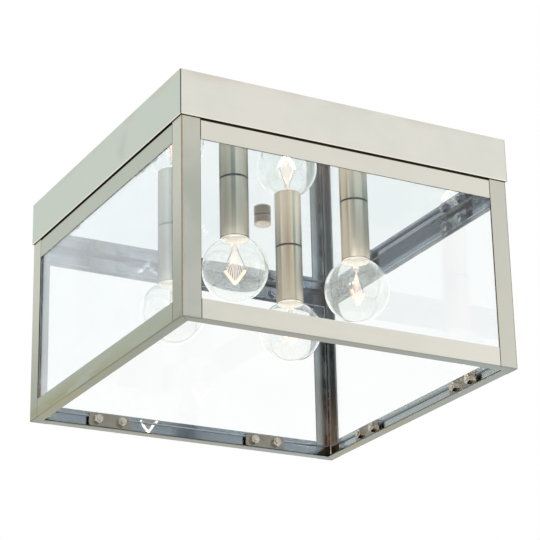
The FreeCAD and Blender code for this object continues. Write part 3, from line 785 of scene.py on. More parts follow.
        # Painted shadow in the gap along the flange's inner edge.
        lip = beside < self.half - self.flange + self.lip_margin
        inner = lip.mix(inner, dimmed(self.foot, 0.4))
        return {"Metallic": 1.0, "Base_Color": self.cut(graph, place, shown.mix(inner, outer)),
                "Roughness": shown.blend(inner_rough, self.rough(shade)),
                "Coat_Weight": (1.0 - shown) * lacquer, "Coat_Roughness": self.lacquer_rough,
                "Normal": (height * shown).bumped(self.grain_depth, SCRATCH_HEIGHT)}


@dataclass(frozen=True, kw_only=True)
class ClipNickel(BrushedMetal):
    """Nickel on the clips, with a bluer painted reflection under the plate than down by the open bottom."""

    level: float
    upper: Colour = (0.20, 0.235, 0.27)

    def coloured(self, graph: Graph, place: Value, shade: Value) -> Value:
        """The metal's colour, with the upper clips' painted reflection tone above the level."""
        above = (place.split()[2] > self.level) * 0.9
        return above.mix(super().coloured(graph, place, shade), self.upper)


@dataclass(frozen=True, kw_only=True)
class KnurledNickel(BrushedMetal):
    """Nickel with painted shade in the grooves of its knurl and on the chamfer above it."""

    radius: float
    depth: float
    level: float
    reach: float
    groove_shade: Colour = (0.10, 0.094, 0.078)

    def coloured(self, graph: Graph, place: Value, shade: Value) -> Value:
        """The metal's colour, with painted shade where the knurl has cut in and above it."""
        x, y, z = place.split()
        rise, sunk = z - self.level, self.radius - graph.join(x, y, 0.0).length()
        # Painted shade in the grooves and on the chamfer above.
        band = abs(rise).ramp(self.reach * 0.9, self.reach, 1.0, 0.0)
        cut = band * sunk.ramp(self.depth * 0.15, self.depth * 0.8, 0.0, 0.95)
        groove_shaded = cut.max(rise.ramp(self.reach * 0.95, self.reach, 0.0, 0.6))
        return groove_shaded.mix(super().coloured(graph, place, shade), self.groove_shade)


@dataclass(frozen=True)
class MirrorPlate(Finish):
    """Steel polished to a mirror, with faint wipe marks and a painted shadow along its edge, in the gap above
    the rails.
    """

    reach: float
    edge_start: float = 0.4 * MM
    edge_end: float = 0.2 * MM
    colour: Colour = (0.89, 0.92, 0.925)
    haze: Colour = (0.84, 0.885, 0.895)
    gap_shadow: Colour = (0.10, 0.09, 0.078)

    def inputs(self, graph: Graph, place: Value) -> dict[str, object]:
        """The shader's inputs."""
        patches = place.tarnish(9.0)
        # Painted shadow along the edge, in the gap between the pan and the rails.
        edge = place.beside().ramp(self.reach - self.edge_start, self.reach - self.edge_end)
        return {"Metallic": 1.0, "Base_Color": edge.mix(patches.mix(self.colour, self.haze), self.gap_shadow),
                "Roughness": edge.blend(patches * 0.02 + 0.012, 0.6)}


@dataclass(frozen=True)
class SatinSleeve(Finish):
    """Satin nickel on a candle sleeve: painted reflections as olive, beige and grey bands along the tube,
    painted light towards its mouth, and a painted glow inside it.
    """

    centre: tuple[float, float]
    radius: float
    wall: float
    bottom: float
    top: float
    bands: Bands
    lift: float
    across_degrees: float = -28.0
    lift_reach: float = 60 * MM
    top_ring: float = 1.1 * MM
    bottom_ring: float = 0.35 * MM
    glow: Colour = (1.0, 0.90, 0.80)
    glow_reach: float = 9 * MM

    def banded(self, graph: Graph, place: Value, centred: Value) -> Value:
        """The painted reflection bands, laid out by how far a point lies across the tube, from 0 to 1, with a
        slight waver.
        """
        way = math.radians(self.across_degrees)
        share = centred.vector("DOT_PRODUCT", (math.cos(way), math.sin(way), 0.0)) * (0.5 / self.radius) + 0.5
        waver = place.vector("MULTIPLY", (160.0, 160.0, 9.0)).noise(1.0, 2.0) - 0.5
        ramp = graph.node("ShaderNodeValToRGB", share + waver * 0.035)
        stops = ramp.color_ramp.elements
        while len(stops) < len(self.bands):
            stops.new(0.5)
        for stop, (position, tone) in zip(stops, self.bands):
            stop.position = position
            stop.color = (*tone.value, 1.0)
        return Value(graph, ramp.outputs[0])

    def inputs(self, graph: Graph, place: Value) -> dict[str, object]:
        """The shader's inputs."""
        z = place.split()[2]
        centred = place.vector("SUBTRACT", (*self.centre, 0.0))
        shade, height = place.grain(GRAIN_STRETCH[Grain.ALONG_Z])
        # Painted light: the tube turns paler towards its lower end.
        lift = z.ramp(self.bottom, self.bottom + self.lift_reach, self.lift, 0.0)
        tone = lift.mix(self.banded(graph, place, centred), Tone.PALE.value)
        tone = ((1.0 - shade) * 0.12).mix(tone, Tone.SHADE.value)
        for level, width in ((self.top, self.top_ring), (self.bottom, self.bottom_ring)):
            tone = place.seam(z - level, width).mix(tone, dimmed(Tone.SHADE.value, 0.3))
        # Painted glow inside the mouth, from the lamp below it.
        away = centred.vector("MULTIPLY", (1.0, 1.0, 0.0)).length()
        inside = away.ramp(self.radius - self.wall * 0.7, self.radius - self.wall * 0.4, 1.0, 0.0)
        lit = inside * z.ramp(self.bottom, self.bottom + self.glow_reach, 1.0, 0.1)
        return {"Metallic": 0.75, "Base_Color": tone, "Roughness": shade * 0.12 + 0.34,
                "Normal": height.bumped(0.05, SCRATCH_HEIGHT),
                "Emission_Color": lit.mix((0.0, 0.0, 0.0), self.glow), "Emission_Strength": 0.62}


@dataclass(frozen=True)
class ClearGlass(Finish):
    """Clear glass with a faint bloom on it, whose glow is painted light, and which lets light through to what
    it covers.
    """

    tint: Colour = (0.985, 0.995, 0.99)
    streak: Colour = (0.97, 0.985, 0.985)
    index: float = 1.42
    waviness: float = 0.02
    scale: float = 20.0
    bloom: Colour = (0.86, 0.91, 0.84)
    bloom_share: float = 0.09
    speckle: float = 750.0

    def veil(self, graph: Graph, place: Value) -> Value:
        """How much of the light behind is lost in the bloom on the skin: an even share with fine speckles."""
        return place.noise(self.speckle, 3.0, 0.7).ramp(0.4, 0.6, 0.3, 1.7) * self.bloom_share

    def bloom_tone(self, graph: Graph, place: Value) -> object:
        """The colour of the bloom."""
        return self.bloom

    def inputs(self, graph: Graph, place: Value) -> dict[str, object]:
        """The shader's inputs: the bloom's painted glow gives back in its own colour what it takes from
        behind.
        """
        uneven, veil = place.noise(self.scale, 2.0), self.veil(graph, place)
        return {"Metallic": 0.0, "Transmission_Weight": 1.0, "IOR": self.index, "Roughness": 0.0,
                "Base_Color": uneven.mix(self.tint, self.streak).scaled((1.0 - veil) ** 2.0),
                "Normal": uneven.bumped(self.waviness, 0.2 * MM),
                "Emission_Color": self.bloom_tone(graph, place), "Emission_Strength": veil}

    def surface(self, graph: Graph, shader: Socket) -> Socket:
        """The shader, but only a clear tint to light on its way to something."""
        clear = graph.node("ShaderNodeBsdfTransparent", self.tint).outputs[0]
        return graph.node("ShaderNodeMixShader", graph.ray("Is Shadow Ray"), shader, clear).outputs[0]


@dataclass(frozen=True)
class PaneGlass(ClearGlass):
    """Glass of a pane: its outer skin glows at a slant with a painted reflection of the bright room, and its
    ground edges are pale.
    """

    outer: float = 137 * MM
    shaded: float = 123.7 * MM
    shade_reach: float = 6 * MM
    shade_end: float = 2 * MM
    slant_share: float = 0.82
    ground_share: float = 0.8
    ground: Colour = (0.13, 0.15, 0.165)
    ground_low: Colour = (0.27, 0.30, 0.31)

    def on_edge(self, graph: Graph) -> Value:
        """1 on the ground edges, 0 on the two skins."""
        return graph.facing().beside() < 0.9

    def bloom_tone(self, graph: Graph, place: Value) -> object:
        """The colour of the bloom's glow: on a ground edge the grey of the ground glass, and on its lower one
        paler with painted light.
        """
        start = self.shaded - self.shade_reach
        clear = place.nearer().ramp(start - self.shade_reach, start, 1.0, 0.0)
        lower = (graph.facing().split()[2] < -0.5) * clear
        return self.on_edge(graph).mix(self.bloom, lower.mix(self.ground, self.ground_low))

    def veil(self, graph: Graph, place: Value) -> Value:
        """The share of the light behind that is lost and glows back: the slant squared outside, a painted
        reflection, and most on a ground edge.
        """
        skin = place.beside() > self.outer
        outside = 1.0 - graph.read("ShaderNodeNewGeometry", "Backfacing")
        slant = graph.read("ShaderNodeLayerWeight", "Facing")
        start, end = self.shaded - self.shade_reach, self.shaded - self.shade_end
        opened = place.nearer().ramp(start, end, self.slant_share, 0.05)
        return (skin * outside * (slant * slant * opened)).max(self.on_edge(graph) * self.ground_share)


@dataclass(frozen=True)
class GlowingFilament(Finish):
    """Hot tungsten: white on the front and back of the coil, orange along its sides, dimmer to the eye."""

    centre: tuple[float, float]
    degrees: float
    coil_radius: float
    hot: Colour = (1.0, 0.88, 0.74)
    cool: Colour = (1.0, 0.50, 0.24)
    shown: float = 1.5
    mirrored: float = 20.0
    cast: float = 14.0

    def inputs(self, graph: Graph, place: Value) -> dict[str, object]:
        """The shader's inputs."""
        angle = math.radians(self.degrees)
        centred = place.vector("SUBTRACT", (*self.centre, 0.0))
        depth = centred.vector("DOT_PRODUCT", (-math.sin(angle), math.cos(angle), 0.0))
        core = abs(depth).ramp(self.coil_radius * 0.55, self.coil_radius * 0.9)
        uneven = place.noise(700.0, 2.0)
        seen = graph.ray("Is Camera Ray").max(graph.ray("Is Transmission Ray"))
        shown = (graph.ray("Glossy Depth") > 0.5).blend(self.shown, self.mirrored)
        level = core.blend(0.8, shown) * (uneven * 0.5 + 0.75)
        return {"Base_Color": uneven.mix((0.16, 0.10, 0.07), (0.25, 0.17, 0.12)), "Roughness": 0.5,
                "Emission_Color": core.mix(self.cool, self.hot),
                "Emission_Strength": seen.blend(self.cast, level)}


@dataclass(frozen=True)
class MouldedPart(Finish):
    """A moulded or lacquered part with a fine matt texture, which may carry a painted glow from the lamp
    beside it.
    """

    colour: Colour
    shade: Colour
    roughness: float = 0.5
    glow: Colour = (0.0, 0.0, 0.0)

    def inputs(self, graph: Graph, place: Value) -> dict[str, object]:
        """The shader's inputs."""
        patches = place.tarnish(120.0)
        return {"Base_Color": patches.mix(self.colour, self.shade),
                "Roughness": patches * 0.1 + self.roughness,
                "Normal": place.noise(2500.0).bumped(0.15, 0.05 * MM),
                "Emission_Color": patches.mix(self.glow, dimmed(self.glow, 0.85)),
                "Emission_Strength": float(any(self.glow))}


@dataclass(frozen=True)
class SolderSkin(Finish):
    """Tin solder that has run and frozen: bright tin low down with a painted warm amber highlight in patches,
    and grey above.
    """

    low: float
    high: float
    bright: Colour = (0.95, 0.93, 0.90)
    stain: Colour = (0.95, 0.55, 0.24)
    dull: Colour = (0.20, 0.19, 0.17)

    def inputs(self, graph: Graph, place: Value) -> dict[str, object]:
        """The shader's inputs."""
        stains = place.tarnish(200.0)
        # Painted warm highlight: bright and amber in patches, low down on the bead.
        run = stains.ramp(0.3, 0.7).mix(self.bright, self.stain)
        lower = place.split()[2].ramp(self.low, self.high, 1.0, 0.0)
        return {"Metallic": 1.0, "Base_Color": lower.mix(self.dull, run), "Roughness": stains * 0.25 + 0.18,
                "Normal": place.noise(1500.0).bumped(0.4, 0.2 * MM)}


@dataclass(frozen=True)
class FloorPaint(Finish):
    """Pale paint that fades to white at the floor's edge, white to mirrors and glass, and open from below."""

    reach: float

    def inputs(self, graph: Graph, place: Value) -> dict[str, object]:
        """The shader's inputs."""
        return {"Base_Color": place.noise(40.0).mix((0.88, 0.88, 0.88), (0.92, 0.92, 0.92)), "Roughness": 0.9}

    def surface(self, graph: Graph, shader: Socket) -> Socket:
        """The shader, or plain white where the floor fades or is mirrored, or nothing from below."""
        mirrored = graph.ray("Is Glossy Ray").max(graph.ray("Is Transmission Ray"))
        edge = graph.place().length().ramp(self.reach * 0.5, self.reach * 0.95)
        white = graph.node("ShaderNodeEmission").outputs[0]
        painted = graph.node("ShaderNodeMixShader", edge.max(mirrored), shader, white).outputs[0]
        below = graph.read("ShaderNodeNewGeometry", "Backfacing")
        clear = graph.node("ShaderNodeBsdfTransparent").outputs[0]
        return graph.node("ShaderNodeMixShader", below, painted, clear).outputs[0]


@dataclass
class Finishes:
    """Every material of the light, each made once."""

    made: dict[str, Material] = field(default_factory=dict)

    def keep(self, finish: Finish) -> Material:
        """Builds a finish the first time and gives the same material after that."""
        if finish.name not in self.made:
            self.made[finish.name] = finish.build()
        return self.made[finish.name]

    def dress(self, finish: Finish, *nodes: str) -> None:
        """Gives CAD nodes a finish."""
        for node in nodes:
            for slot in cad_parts[node].material_slots:
                slot.material = self.keep(finish)

    def piece(self, name: str, finish: Finish, *grids: Array, smooth_degrees: float = 35.0) -> Object:
        """One piece made of grids of points.

        Args:
            name: Name of the piece.
            finish: Its finish.
            grids: The grids, each a closed strip of rings.
            smooth_degrees: Edges sharper than this stay sharp.

        Returns:
            The piece.
        """
        surface = Surface()
        for grid in grids:
            surface.add(grid)
        return surface.make(name, self.keep(finish), smooth_degrees)


# Finishes of the hidden hardware
ZINC = BrushedMetal("zinc_plate", (0.58, 0.61, 0.64), (0.70, 0.69, 0.60), roughness=0.3, patch_scale=60.0)
BRASS = BrushedMetal("contact_brass", (0.78, 0.62, 0.34), (0.62, 0.46, 0.22), roughness=0.25,
                     patch_scale=90.0)


def corner_box(node: str) -> tuple[Array, Array]:
    """The lowest and highest corner of a CAD node."""
    low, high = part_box(node)
    return np.array(low), np.array(high)


# Sub-assemblies


@dataclass
class CanopyPan:
    """The pan on the ceiling, and the bar, nipple and nuts inside it."""

    finishes: Finishes

    def build(self) -> None:
        """Dresses the pan and its hidden fittings."""
        low, _ = corner_box("canopy_pan")
        # The pan's third tone is painted side shading on the faces that look along x.
        nickel = PanNickel("pan_nickel", (0.75, 0.735, 0.665), (0.71, 0.71, 0.65), (0.625, 0.65, 0.595),
                           grain=Grain.ALONG_WALLS, grain_share=0.05, under=float(low[2]))
        self.finishes.dress(nickel, "canopy_pan")
        self.finishes.dress(ZINC, "crossbar", "crossbar_lock_nut", "centre_nipple", "frame_screws",
                            "lampholder_nipples", "lampholder_lock_nuts")
        green = MouldedPart("green_lacquer", (0.03, 0.22, 0.07), (0.02, 0.15, 0.05), 0.3)
        self.finishes.dress(green, "ground_screw")
        LOG.info("canopy pan and its fittings dressed")


@dataclass
class ReflectorPlate:
    """The polished plate under the pan."""

    finishes: Finishes

    def build(self) -> None:
        """Dresses the plate."""
        _, high = corner_box("reflector_plate")
        self.finishes.dress(MirrorPlate("mirror_plate", float(high[0])), "reflector_plate")
        LOG.info("reflector plate dressed")


@dataclass
class GlassPane:
    """One pane, with ground edges, set a hair off the frame that it lies against."""

    side: str
    finishes: Finishes
    gap: float = 0.1 * MM
    bevel: float = 0.3 * MM
    corner: float = 1.5 * MM

    def build(self) -> None:
        """A slab: the outline is carried through the thickness and drawn in at both ground edges."""
        low, high = corner_box(f"glass_pane_{self.side}")
        thin = int(np.argmin((high - low)[:2]))
        long = 1 - thin
        if low[thin] + high[thin] > 0:
            high[thin] -= self.gap
        else:
            low[thin] += self.gap
        middle, half = (low + high) / 2, (high - low) / 2
        skin = half[thin]
        steps = ((self.bevel, -skin), (0.0, self.bevel - skin), (0.0, skin - self.bevel), (self.bevel, skin))
        rings = []
        for inset, through in steps:
            outline = rounded_rectangle(half[long] - inset, half[2] - inset, self.corner - inset)
            ring = np.tile(middle, (len(outline), 1))
            ring[:, thin] += through
            ring[:, long] += outline[:, 0]
            ring[:, 2] += outline[:, 1]
            rings.append(ring)
        glass = PaneGlass("pane_glass", index=1.3, bloom=(0.83, 0.885, 0.93))
        slab = capped(np.stack(rings))
        piece = self.finishes.piece(f"ground_pane_{self.side}", glass, slab, smooth_degrees=20.0)
        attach(piece, "root")
        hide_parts(f"glass_pane_{self.side}")


@dataclass
class GlassClips:
    """The clip plates, and the nuts and studs that hold them."""

    finishes: Finishes

    def build(self) -> None:
        """Dresses plates, nuts and studs."""
        low, high = corner_box("clip_plates")
        level = float(low[2] + high[2]) / 2
        # The upper tones of plates and nuts are painted reflections.
        plates = ClipNickel("clip_nickel", (0.215, 0.205, 0.175), (0.27, 0.255, 0.22), roughness=0.16,
                            patch_scale=40.0, level=level)
        nuts = ClipNickel("nut_nickel", (0.62, 0.57, 0.49), (0.36, 0.33, 0.29), roughness=0.14,
                          patch_scale=60.0, level=level, upper=(0.26, 0.29, 0.33))
        self.finishes.dress(plates, "clip_plates")
        self.finishes.dress(nuts, "clip_nuts", "clip_studs")
        LOG.info("glass clips dressed")


@dataclass
class SolderBeads:
    """The runs of solder in the inner corners of the posts."""

    finishes: Finishes
    radius: float = 0.6 * MM
    sheet: float = 1.2 * MM
    rings: int = 170
    columns: int = 12
    waves: tuple[float, ...] = (37.0, 61.0, 97.0, 151.0, 233.0, 397.0)
    seed: int = 7

    def bead(self, inner: Array, low: float, high: float, random: np.random.Generator) -> Array:
        """A bead whose radius and place wander along its height as a sum of sine waves.

        Args:
            inner: The corner as x and y.
            low: Its lower end.
            high: Its upper end.
            random: Source of the waves' phases.

        Returns:
            The grid of the bead.
        """
        share = np.linspace(0, 1, self.rings)[:, None]
        phases = random.uniform(0, FULL_TURN, len(self.waves))
        wander = np.sin(share * self.waves + phases).mean(axis=1)
        swell = self.radius * np.clip(1 + 0.9 * wander, 0.35, 2.0)
        inset = self.radius * (0.35 + 0.35 * wander)
        path = np.column_stack([inner - np.sign(inner) * inset[:, None], np.linspace(low, high, self.rings)])
        return swept(path, np.array([1.0, 0.0, 0.0]), swell, self.columns)

    def build(self) -> None:
        """Makes one bead in each corner."""
        random = np.random.default_rng(self.seed)
        plate_low, _ = corner_box("reflector_plate")
        for corner in CORNERS:
            low, high = corner_box(f"corner_post_{corner}")
            half = np.abs(np.concatenate([low[:2], high[:2]])).max()
            inner = np.sign(low[:2] + high[:2]) * (half - self.sheet)
            bead = self.bead(inner, float(low[2]) + 2 * self.sheet, float(plate_low[2]) - self.sheet, random)
            skin = SolderSkin("solder_skin", float(low[2]), float(low[2] + high[2]) / 2)
            piece = self.finishes.piece(f"solder_bead_{corner}", skin, bead)
            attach(piece, "root")
        LOG.info("solder beads made")


# Painted reflections on the rails' inner faces, for each way of brushing.
RAIL_INSIDES = {
    Grain.ALONG_X: {"inside_low": (0.20, 0.24, 0.27), "dulled": 0.8, "polished": 0.9},
    Grain.ALONG_Y: {"inside": (0.14, 0.18, 0.215), "inside_patch": (0.20, 0.24, 0.275),
                    "inside_low": (0.30, 0.335, 0.335), "dulled": 1.0},
}


@dataclass
class LanternFrame:
    """Posts, rails and panes of the lantern."""

    finishes: Finishes
    joint_inset: float = 0.1 * MM

    def metal(self, name: str, grain: Grain, colour: Colour, patch: Colour, **looks: object) -> FrameNickel:
        """The frame's finish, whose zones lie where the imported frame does.

        Args:
            name: Name of the material.
            grain: The way of brushing.
            colour: Its main tone.
            patch: Its second tone.
            looks: Other values of the finish.

        Returns:
            The finish.
        """
        low, high = corner_box("corner_post_front_left")
        return FrameNickel(name, colour, patch, grain=grain, grain_share=0.07, half=-float(low[0]),
                           bottom=float(low[2]), top=float(high[2]), joint=-float(high[0]) - self.joint_inset,
                           **looks)

    def build(self) -> None:
        """Dresses the frame and makes its panes."""
        # Painted light and reflections: the posts' side shading, inside tones and corner shade.
        posts = self.metal("post_nickel", Grain.ALONG_Z, (0.43, 0.45, 0.39), (0.50, 0.51, 0.45),
                           sideways=(0.69, 0.65, 0.585), inside=(0.26, 0.31, 0.35),
                           inside_patch=(0.35, 0.40, 0.44), dulled=0.8, inner_rough=0.28,
                           edge_width=0.7 * MM, stained=0.97)
        self.finishes.dress(posts, *(f"corner_post_{corner}" for corner in CORNERS))
        for side in SIDES:
            grain = Grain.ALONG_X if side in ("front", "back") else Grain.ALONG_Y
            # Painted light and reflections: the rails' side shading and their high and low tones.
            rails = self.metal(f"rail_nickel_{grain.name.lower()}", grain, (0.71, 0.695, 0.62),
                               (0.67, 0.66, 0.59), sideways=(0.52, 0.53, 0.47), high_tone=(0.72, 0.70, 0.62),
                               low_tone=(0.41, 0.42, 0.345), **RAIL_INSIDES[grain])
            self.finishes.dress(rails, f"top_rail_{side}", f"bottom_rail_{side}")
            GlassPane(side, self.finishes).build()
        LOG.info("lantern frame dressed and its panes made")


@dataclass
class CandleLamp:
    """One lamp: sleeve, lampholder and globe bulb."""

    number: int
    finishes: Finishes
    filament_degrees: float
    bands: Bands
    lift: float
    sleeve_wall: float = 0.8 * MM
    sleeve_columns: int = 96
    sleeve_rows: int = 5
    rim_points: int = 9
    glass_wall: float = 0.6 * MM
    globe_columns: int = 128
    ball_points: int = 64
    throat_points: int = 14
    neck_radius: float = 6.0 * MM
    neck_blend: float = 4.0 * MM
    stem_radius: float = 2.2 * MM
    stem_length: float = 14.0 * MM
    stem_rows: int = 40
    stem_columns: int = 36
    flare_gap: float = 0.05 * MM
    flare_end: float = 0.3
    press_start: float = 0.62
    press_reach: float = 0.2
    press_widening: float = 0.35
    press_thinning: float = 0.45
    lead_radius: float = 0.3 * MM
    lead_gap: float = 1.4 * MM
    lead_grip: float = 2.5 * MM
    lead_points: int = 40
    filament_width: float = 15.5 * MM
    filament_height: float = 11.5 * MM
    filament_foot: float = 1.2 * MM
    coil_radius: float = 1.15 * MM
    coil_wire: float = 0.2 * MM
    coil_turns: int = 28
    turn_points: int = 14
    support_radius: float = 0.2 * MM
    support_grip: float = 0.5 * MM
    support_points: int = 12
    support_shares: tuple[float, ...] = (-0.8, -0.6, -0.4, -0.2, 0.0, 0.2, 0.4, 0.6, 0.8)

    def __post_init__(self) -> None:
        """Reads the lamp's place from the frame."""
        self.sleeve_low, self.sleeve_high = corner_box(f"candle_sleeve_{self.number}")
        globe_low, globe_high = corner_box(f"bulb_globe_{self.number}")
        self.neck_top = float(globe_high[2])
        self.mount_top = float(corner_box(f"bulb_filament_{self.number}")[1][2])
        self.centre = (self.sleeve_low[:2] + self.sleeve_high[:2]) / 2
        self.globe_radius = float(globe_high[0] - globe_low[0]) / 2
        self.globe_centre = float(globe_low[2]) + self.globe_radius
        self.press = self.mount_top - self.stem_length

    def sleeve(self) -> None:
        """The tube: its wall has rolled edges, each rim a half circle as wide as the wall."""
        outer = float(self.sleeve_high[0] - self.sleeve_low[0]) / 2
        low, high = float(self.sleeve_low[2]), float(self.sleeve_high[2])
        wall, rim = self.sleeve_wall, self.sleeve_wall / 2
        bottom = arc_profile((outer - rim, low + rim), rim, 0.0, -math.pi, self.rim_points)
        top = arc_profile((outer - rim, high - rim), rim, math.pi, 0.0, self.rim_points)
        climb = (high - low - wall) * np.linspace(0, 1, self.sleeve_rows + 2)[1:-1]
        inside = np.stack([np.full(self.sleeve_rows, outer - wall), low + rim + climb], axis=-1)
        outside = np.stack([np.full(self.sleeve_rows, outer), high - rim - climb], axis=-1)
        profile = np.concatenate([bottom, inside, top, outside, bottom[:1]])
        # The sleeve's bands, paler lower end and mouth glow are painted reflections and painted light.
        satin = SatinSleeve(f"satin_nickel_{self.number}", tuple(float(v) for v in self.centre), outer, wall,
                            low, high, self.bands, self.lift)
        tube = revolved(profile, self.centre, self.sleeve_columns)
        piece = self.finishes.piece(f"satin_sleeve_{self.number}", satin, tube)
        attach(piece, "root")
        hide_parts(f"candle_sleeve_{self.number}")

    def globe_profile(self, wall: float) -> Array:
        """The bulb's outline set in by a wall: sphere, then an arc that blends into the neck.

        Args:
            wall: How far the outline is set in.

        Returns:
            Pairs of radius and height from the lowest point up to the end of the neck.
        """
        sphere, blend, neck = self.globe_radius - wall, self.neck_blend + wall, self.neck_radius - wall
        hub = self.neck_radius + self.neck_blend
        rise = math.sqrt((self.globe_radius + self.neck_blend) ** 2 - hub ** 2)
        meet = math.atan2(rise, hub)
        ball = arc_profile((0.0, self.globe_centre), sphere, -math.pi / 2, meet, self.ball_points)
        throat = arc_profile((hub, self.globe_centre + rise), blend, meet - math.pi, -math.pi,
                             self.throat_points)
        return np.concatenate([ball, throat[1:], [[neck, self.neck_top]]])

    def globe(self) -> None:
        """The blown globe: an outer and an inner skin joined at the end of the neck."""
        profile = np.concatenate([self.globe_profile(0.0), self.globe_profile(self.glass_wall)[::-1]])
        glass = ClearGlass("bulb_glass", (0.995, 0.995, 0.99), (0.985, 0.99, 0.99), waviness=0.03, scale=60.0)
        skins = revolved(profile, self.centre, self.globe_columns)
        piece = self.finishes.piece(f"blown_globe_{self.number}", glass, skins, smooth_degrees=60.0)
        self.fit(piece)
        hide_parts(f"bulb_globe_{self.number}")

    def fit(self, piece: Object) -> None:
        """Makes a piece move with the bulb."""
        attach(piece, f"bulb_{self.number}")

    def placed(self, local: Array) -> Array:
        """Points given across, through and up, turned to the filament's angle and moved to the axis."""
        angle = math.radians(self.filament_degrees)
        x = self.centre[0] + local[..., 0] * math.cos(angle) - local[..., 1] * math.sin(angle)
        y = self.centre[1] + local[..., 0] * math.sin(angle) + local[..., 1] * math.cos(angle)
        return np.stack([x, y, local[..., 2]], axis=-1)

    def wire(self, across: Array, height: Array, radius: float, columns: int) -> Array:
        """The grid of a wire in the filament's plane.

        Args:
            across: How far each point of it lies from the lamp's axis.
            height: The height of each point.
            radius: Radius of the wire.
            columns: Points in a ring.

        Returns:
            The grid.
        """
        path = self.placed(np.stack([across, np.zeros(len(across)), height], axis=-1))
        through = self.placed(np.array([0.0, 1.0, 0.0])) - self.placed(np.zeros(3))
        return swept(path, through, radius, columns)

    def stem(self) -> None:
        """The glass mount: a flare in the neck, a tube, and a flat press that grips the leads."""
        flare = self.neck_radius - self.glass_wall - self.flare_gap
        share = np.linspace(0, 1, self.stem_rows)[:, None]
        spread = np.clip(1 - share / self.flare_end, 0, 1) ** 2.2
        radius = self.stem_radius + (flare - self.stem_radius) * spread
        squeeze = smooth_step(np.clip((share - self.press_start) / self.press_reach, 0, 1))
        angle = np.arange(self.stem_columns) * FULL_TURN / self.stem_columns
        across = radius * (1 + self.press_widening * squeeze) * np.cos(angle)
        through = radius * (1 - self.press_thinning * squeeze) * np.sin(angle)
        height = np.broadcast_to(self.mount_top - share * self.stem_length, across.shape)
        grid = capped(self.placed(np.stack([across, through, height], axis=-1)))
        # The stem's warm bloom is a painted glow.
        glass = ClearGlass("stem_glass", (0.96, 0.95, 0.93), (0.99, 0.96, 0.92), waviness=0.2, scale=300.0,
                           bloom=(1.0, 0.88, 0.80), bloom_share=0.25)
        piece = self.finishes.piece(f"stem_glass_{self.number}", glass, grid, smooth_degrees=50.0)
        self.fit(piece)
        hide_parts(f"bulb_filament_{self.number}")

    def leads(self) -> None:
        """Two lead wires that spread from the press to the filament's ends, each bent by a smooth step."""
        steel = BrushedMetal("lead_steel", (0.30, 0.29, 0.29), (0.42, 0.38, 0.35), roughness=0.25,
                             grain=Grain.ALONG_Z)
        share = np.linspace(0, 1, self.lead_points)
        bend = 0.6 * share + 0.4 * smooth_step(share)
        across = self.lead_gap + (self.filament_width / 2 - self.lead_gap) * bend
        start = self.press + self.lead_grip
        height = start + (self.globe_centre - start) * share
        wires = (self.wire(side * across, height, self.lead_radius, 10) for side in (-1, 1))
        self.fit(self.finishes.piece(f"lead_wires_{self.number}", steel, *wires))

    def filament(self) -> None:
        """The coiled filament: a helix r (cos t N + sin t B) round a V whose foot is a small arc."""
        half, drop = self.filament_width / 2, self.filament_height
        soft = self.filament_foot / drop
        share = np.linspace(-1, 1, self.coil_turns * self.turn_points)
        rise = np.sqrt(share ** 2 + soft ** 2) - soft
        height = self.globe_centre - drop + drop * rise
        centre = np.stack([half * share, np.zeros(len(share)), height], axis=-1)
        along = np.gradient(centre, axis=0)
        along /= np.linalg.norm(along, axis=1, keepdims=True)
        through = np.broadcast_to(np.array([0.0, 1.0, 0.0]), centre.shape)
        turn = (share[:, None] + 1) / 2 * FULL_TURN * self.coil_turns
        reach = np.cos(turn) * np.cross(through, along) + np.sin(turn) * through
        helix = self.placed(centre + self.coil_radius * reach)
        coil = swept(helix, self.placed(reach) - self.placed(np.zeros(3)), self.coil_wire, 6)
        hot = GlowingFilament(f"glowing_filament_{self.number}", tuple(float(v) for v in self.centre),
                              self.filament_degrees, self.coil_radius)
        self.fit(self.finishes.piece(f"coiled_filament_{self.number}", hot, coil))

    def supports(self) -> None:
        """Fine wires that fan out from the press to the filament, glowing with painted light along their
        whole length.
        """
        share = np.linspace(0, 1, self.support_points)
        start = self.press + self.support_grip
        wires = []
        for reach in self.support_shares:
            foot = self.globe_centre - self.filament_height * (1 - abs(reach))
            across, height = reach * self.filament_width / 2 * share, start + (foot - start) * share
            wires.append(self.wire(across, height, self.support_radius, 6))
        # The support wires' glow is painted light.
        hot = MouldedPart("hot_support", (0.5, 0.4, 0.35), (0.4, 0.3, 0.25), glow=(1.0, 0.74, 0.56))
        self.fit(self.finishes.piece(f"support_wires_{self.number}", hot, *wires))

    def build(self) -> None:
        """Makes and dresses the whole lamp."""
        for make in (self.sleeve, self.globe, self.stem, self.leads, self.supports, self.filament):
            make()
        # The holder's warm glow is painted light from the lamp beside it.
        moulding = MouldedPart("holder_moulding", (0.86, 0.80, 0.72), (0.78, 0.70, 0.60),
                               glow=(0.50, 0.42, 0.35))
        cap = BrushedMetal("cap_metal", (0.80, 0.79, 0.76), (0.70, 0.68, 0.62), roughness=0.22,
                           patch_scale=90.0)
        self.finishes.dress(moulding, f"lampholder_body_{self.number}")
        self.finishes.dress(BRASS, f"lampholder_shell_{self.number}")
        self.finishes.dress(cap, f"bulb_cap_{self.number}", f"bulb_contact_{self.number}")
        LOG.info("lamp %d made", self.number)


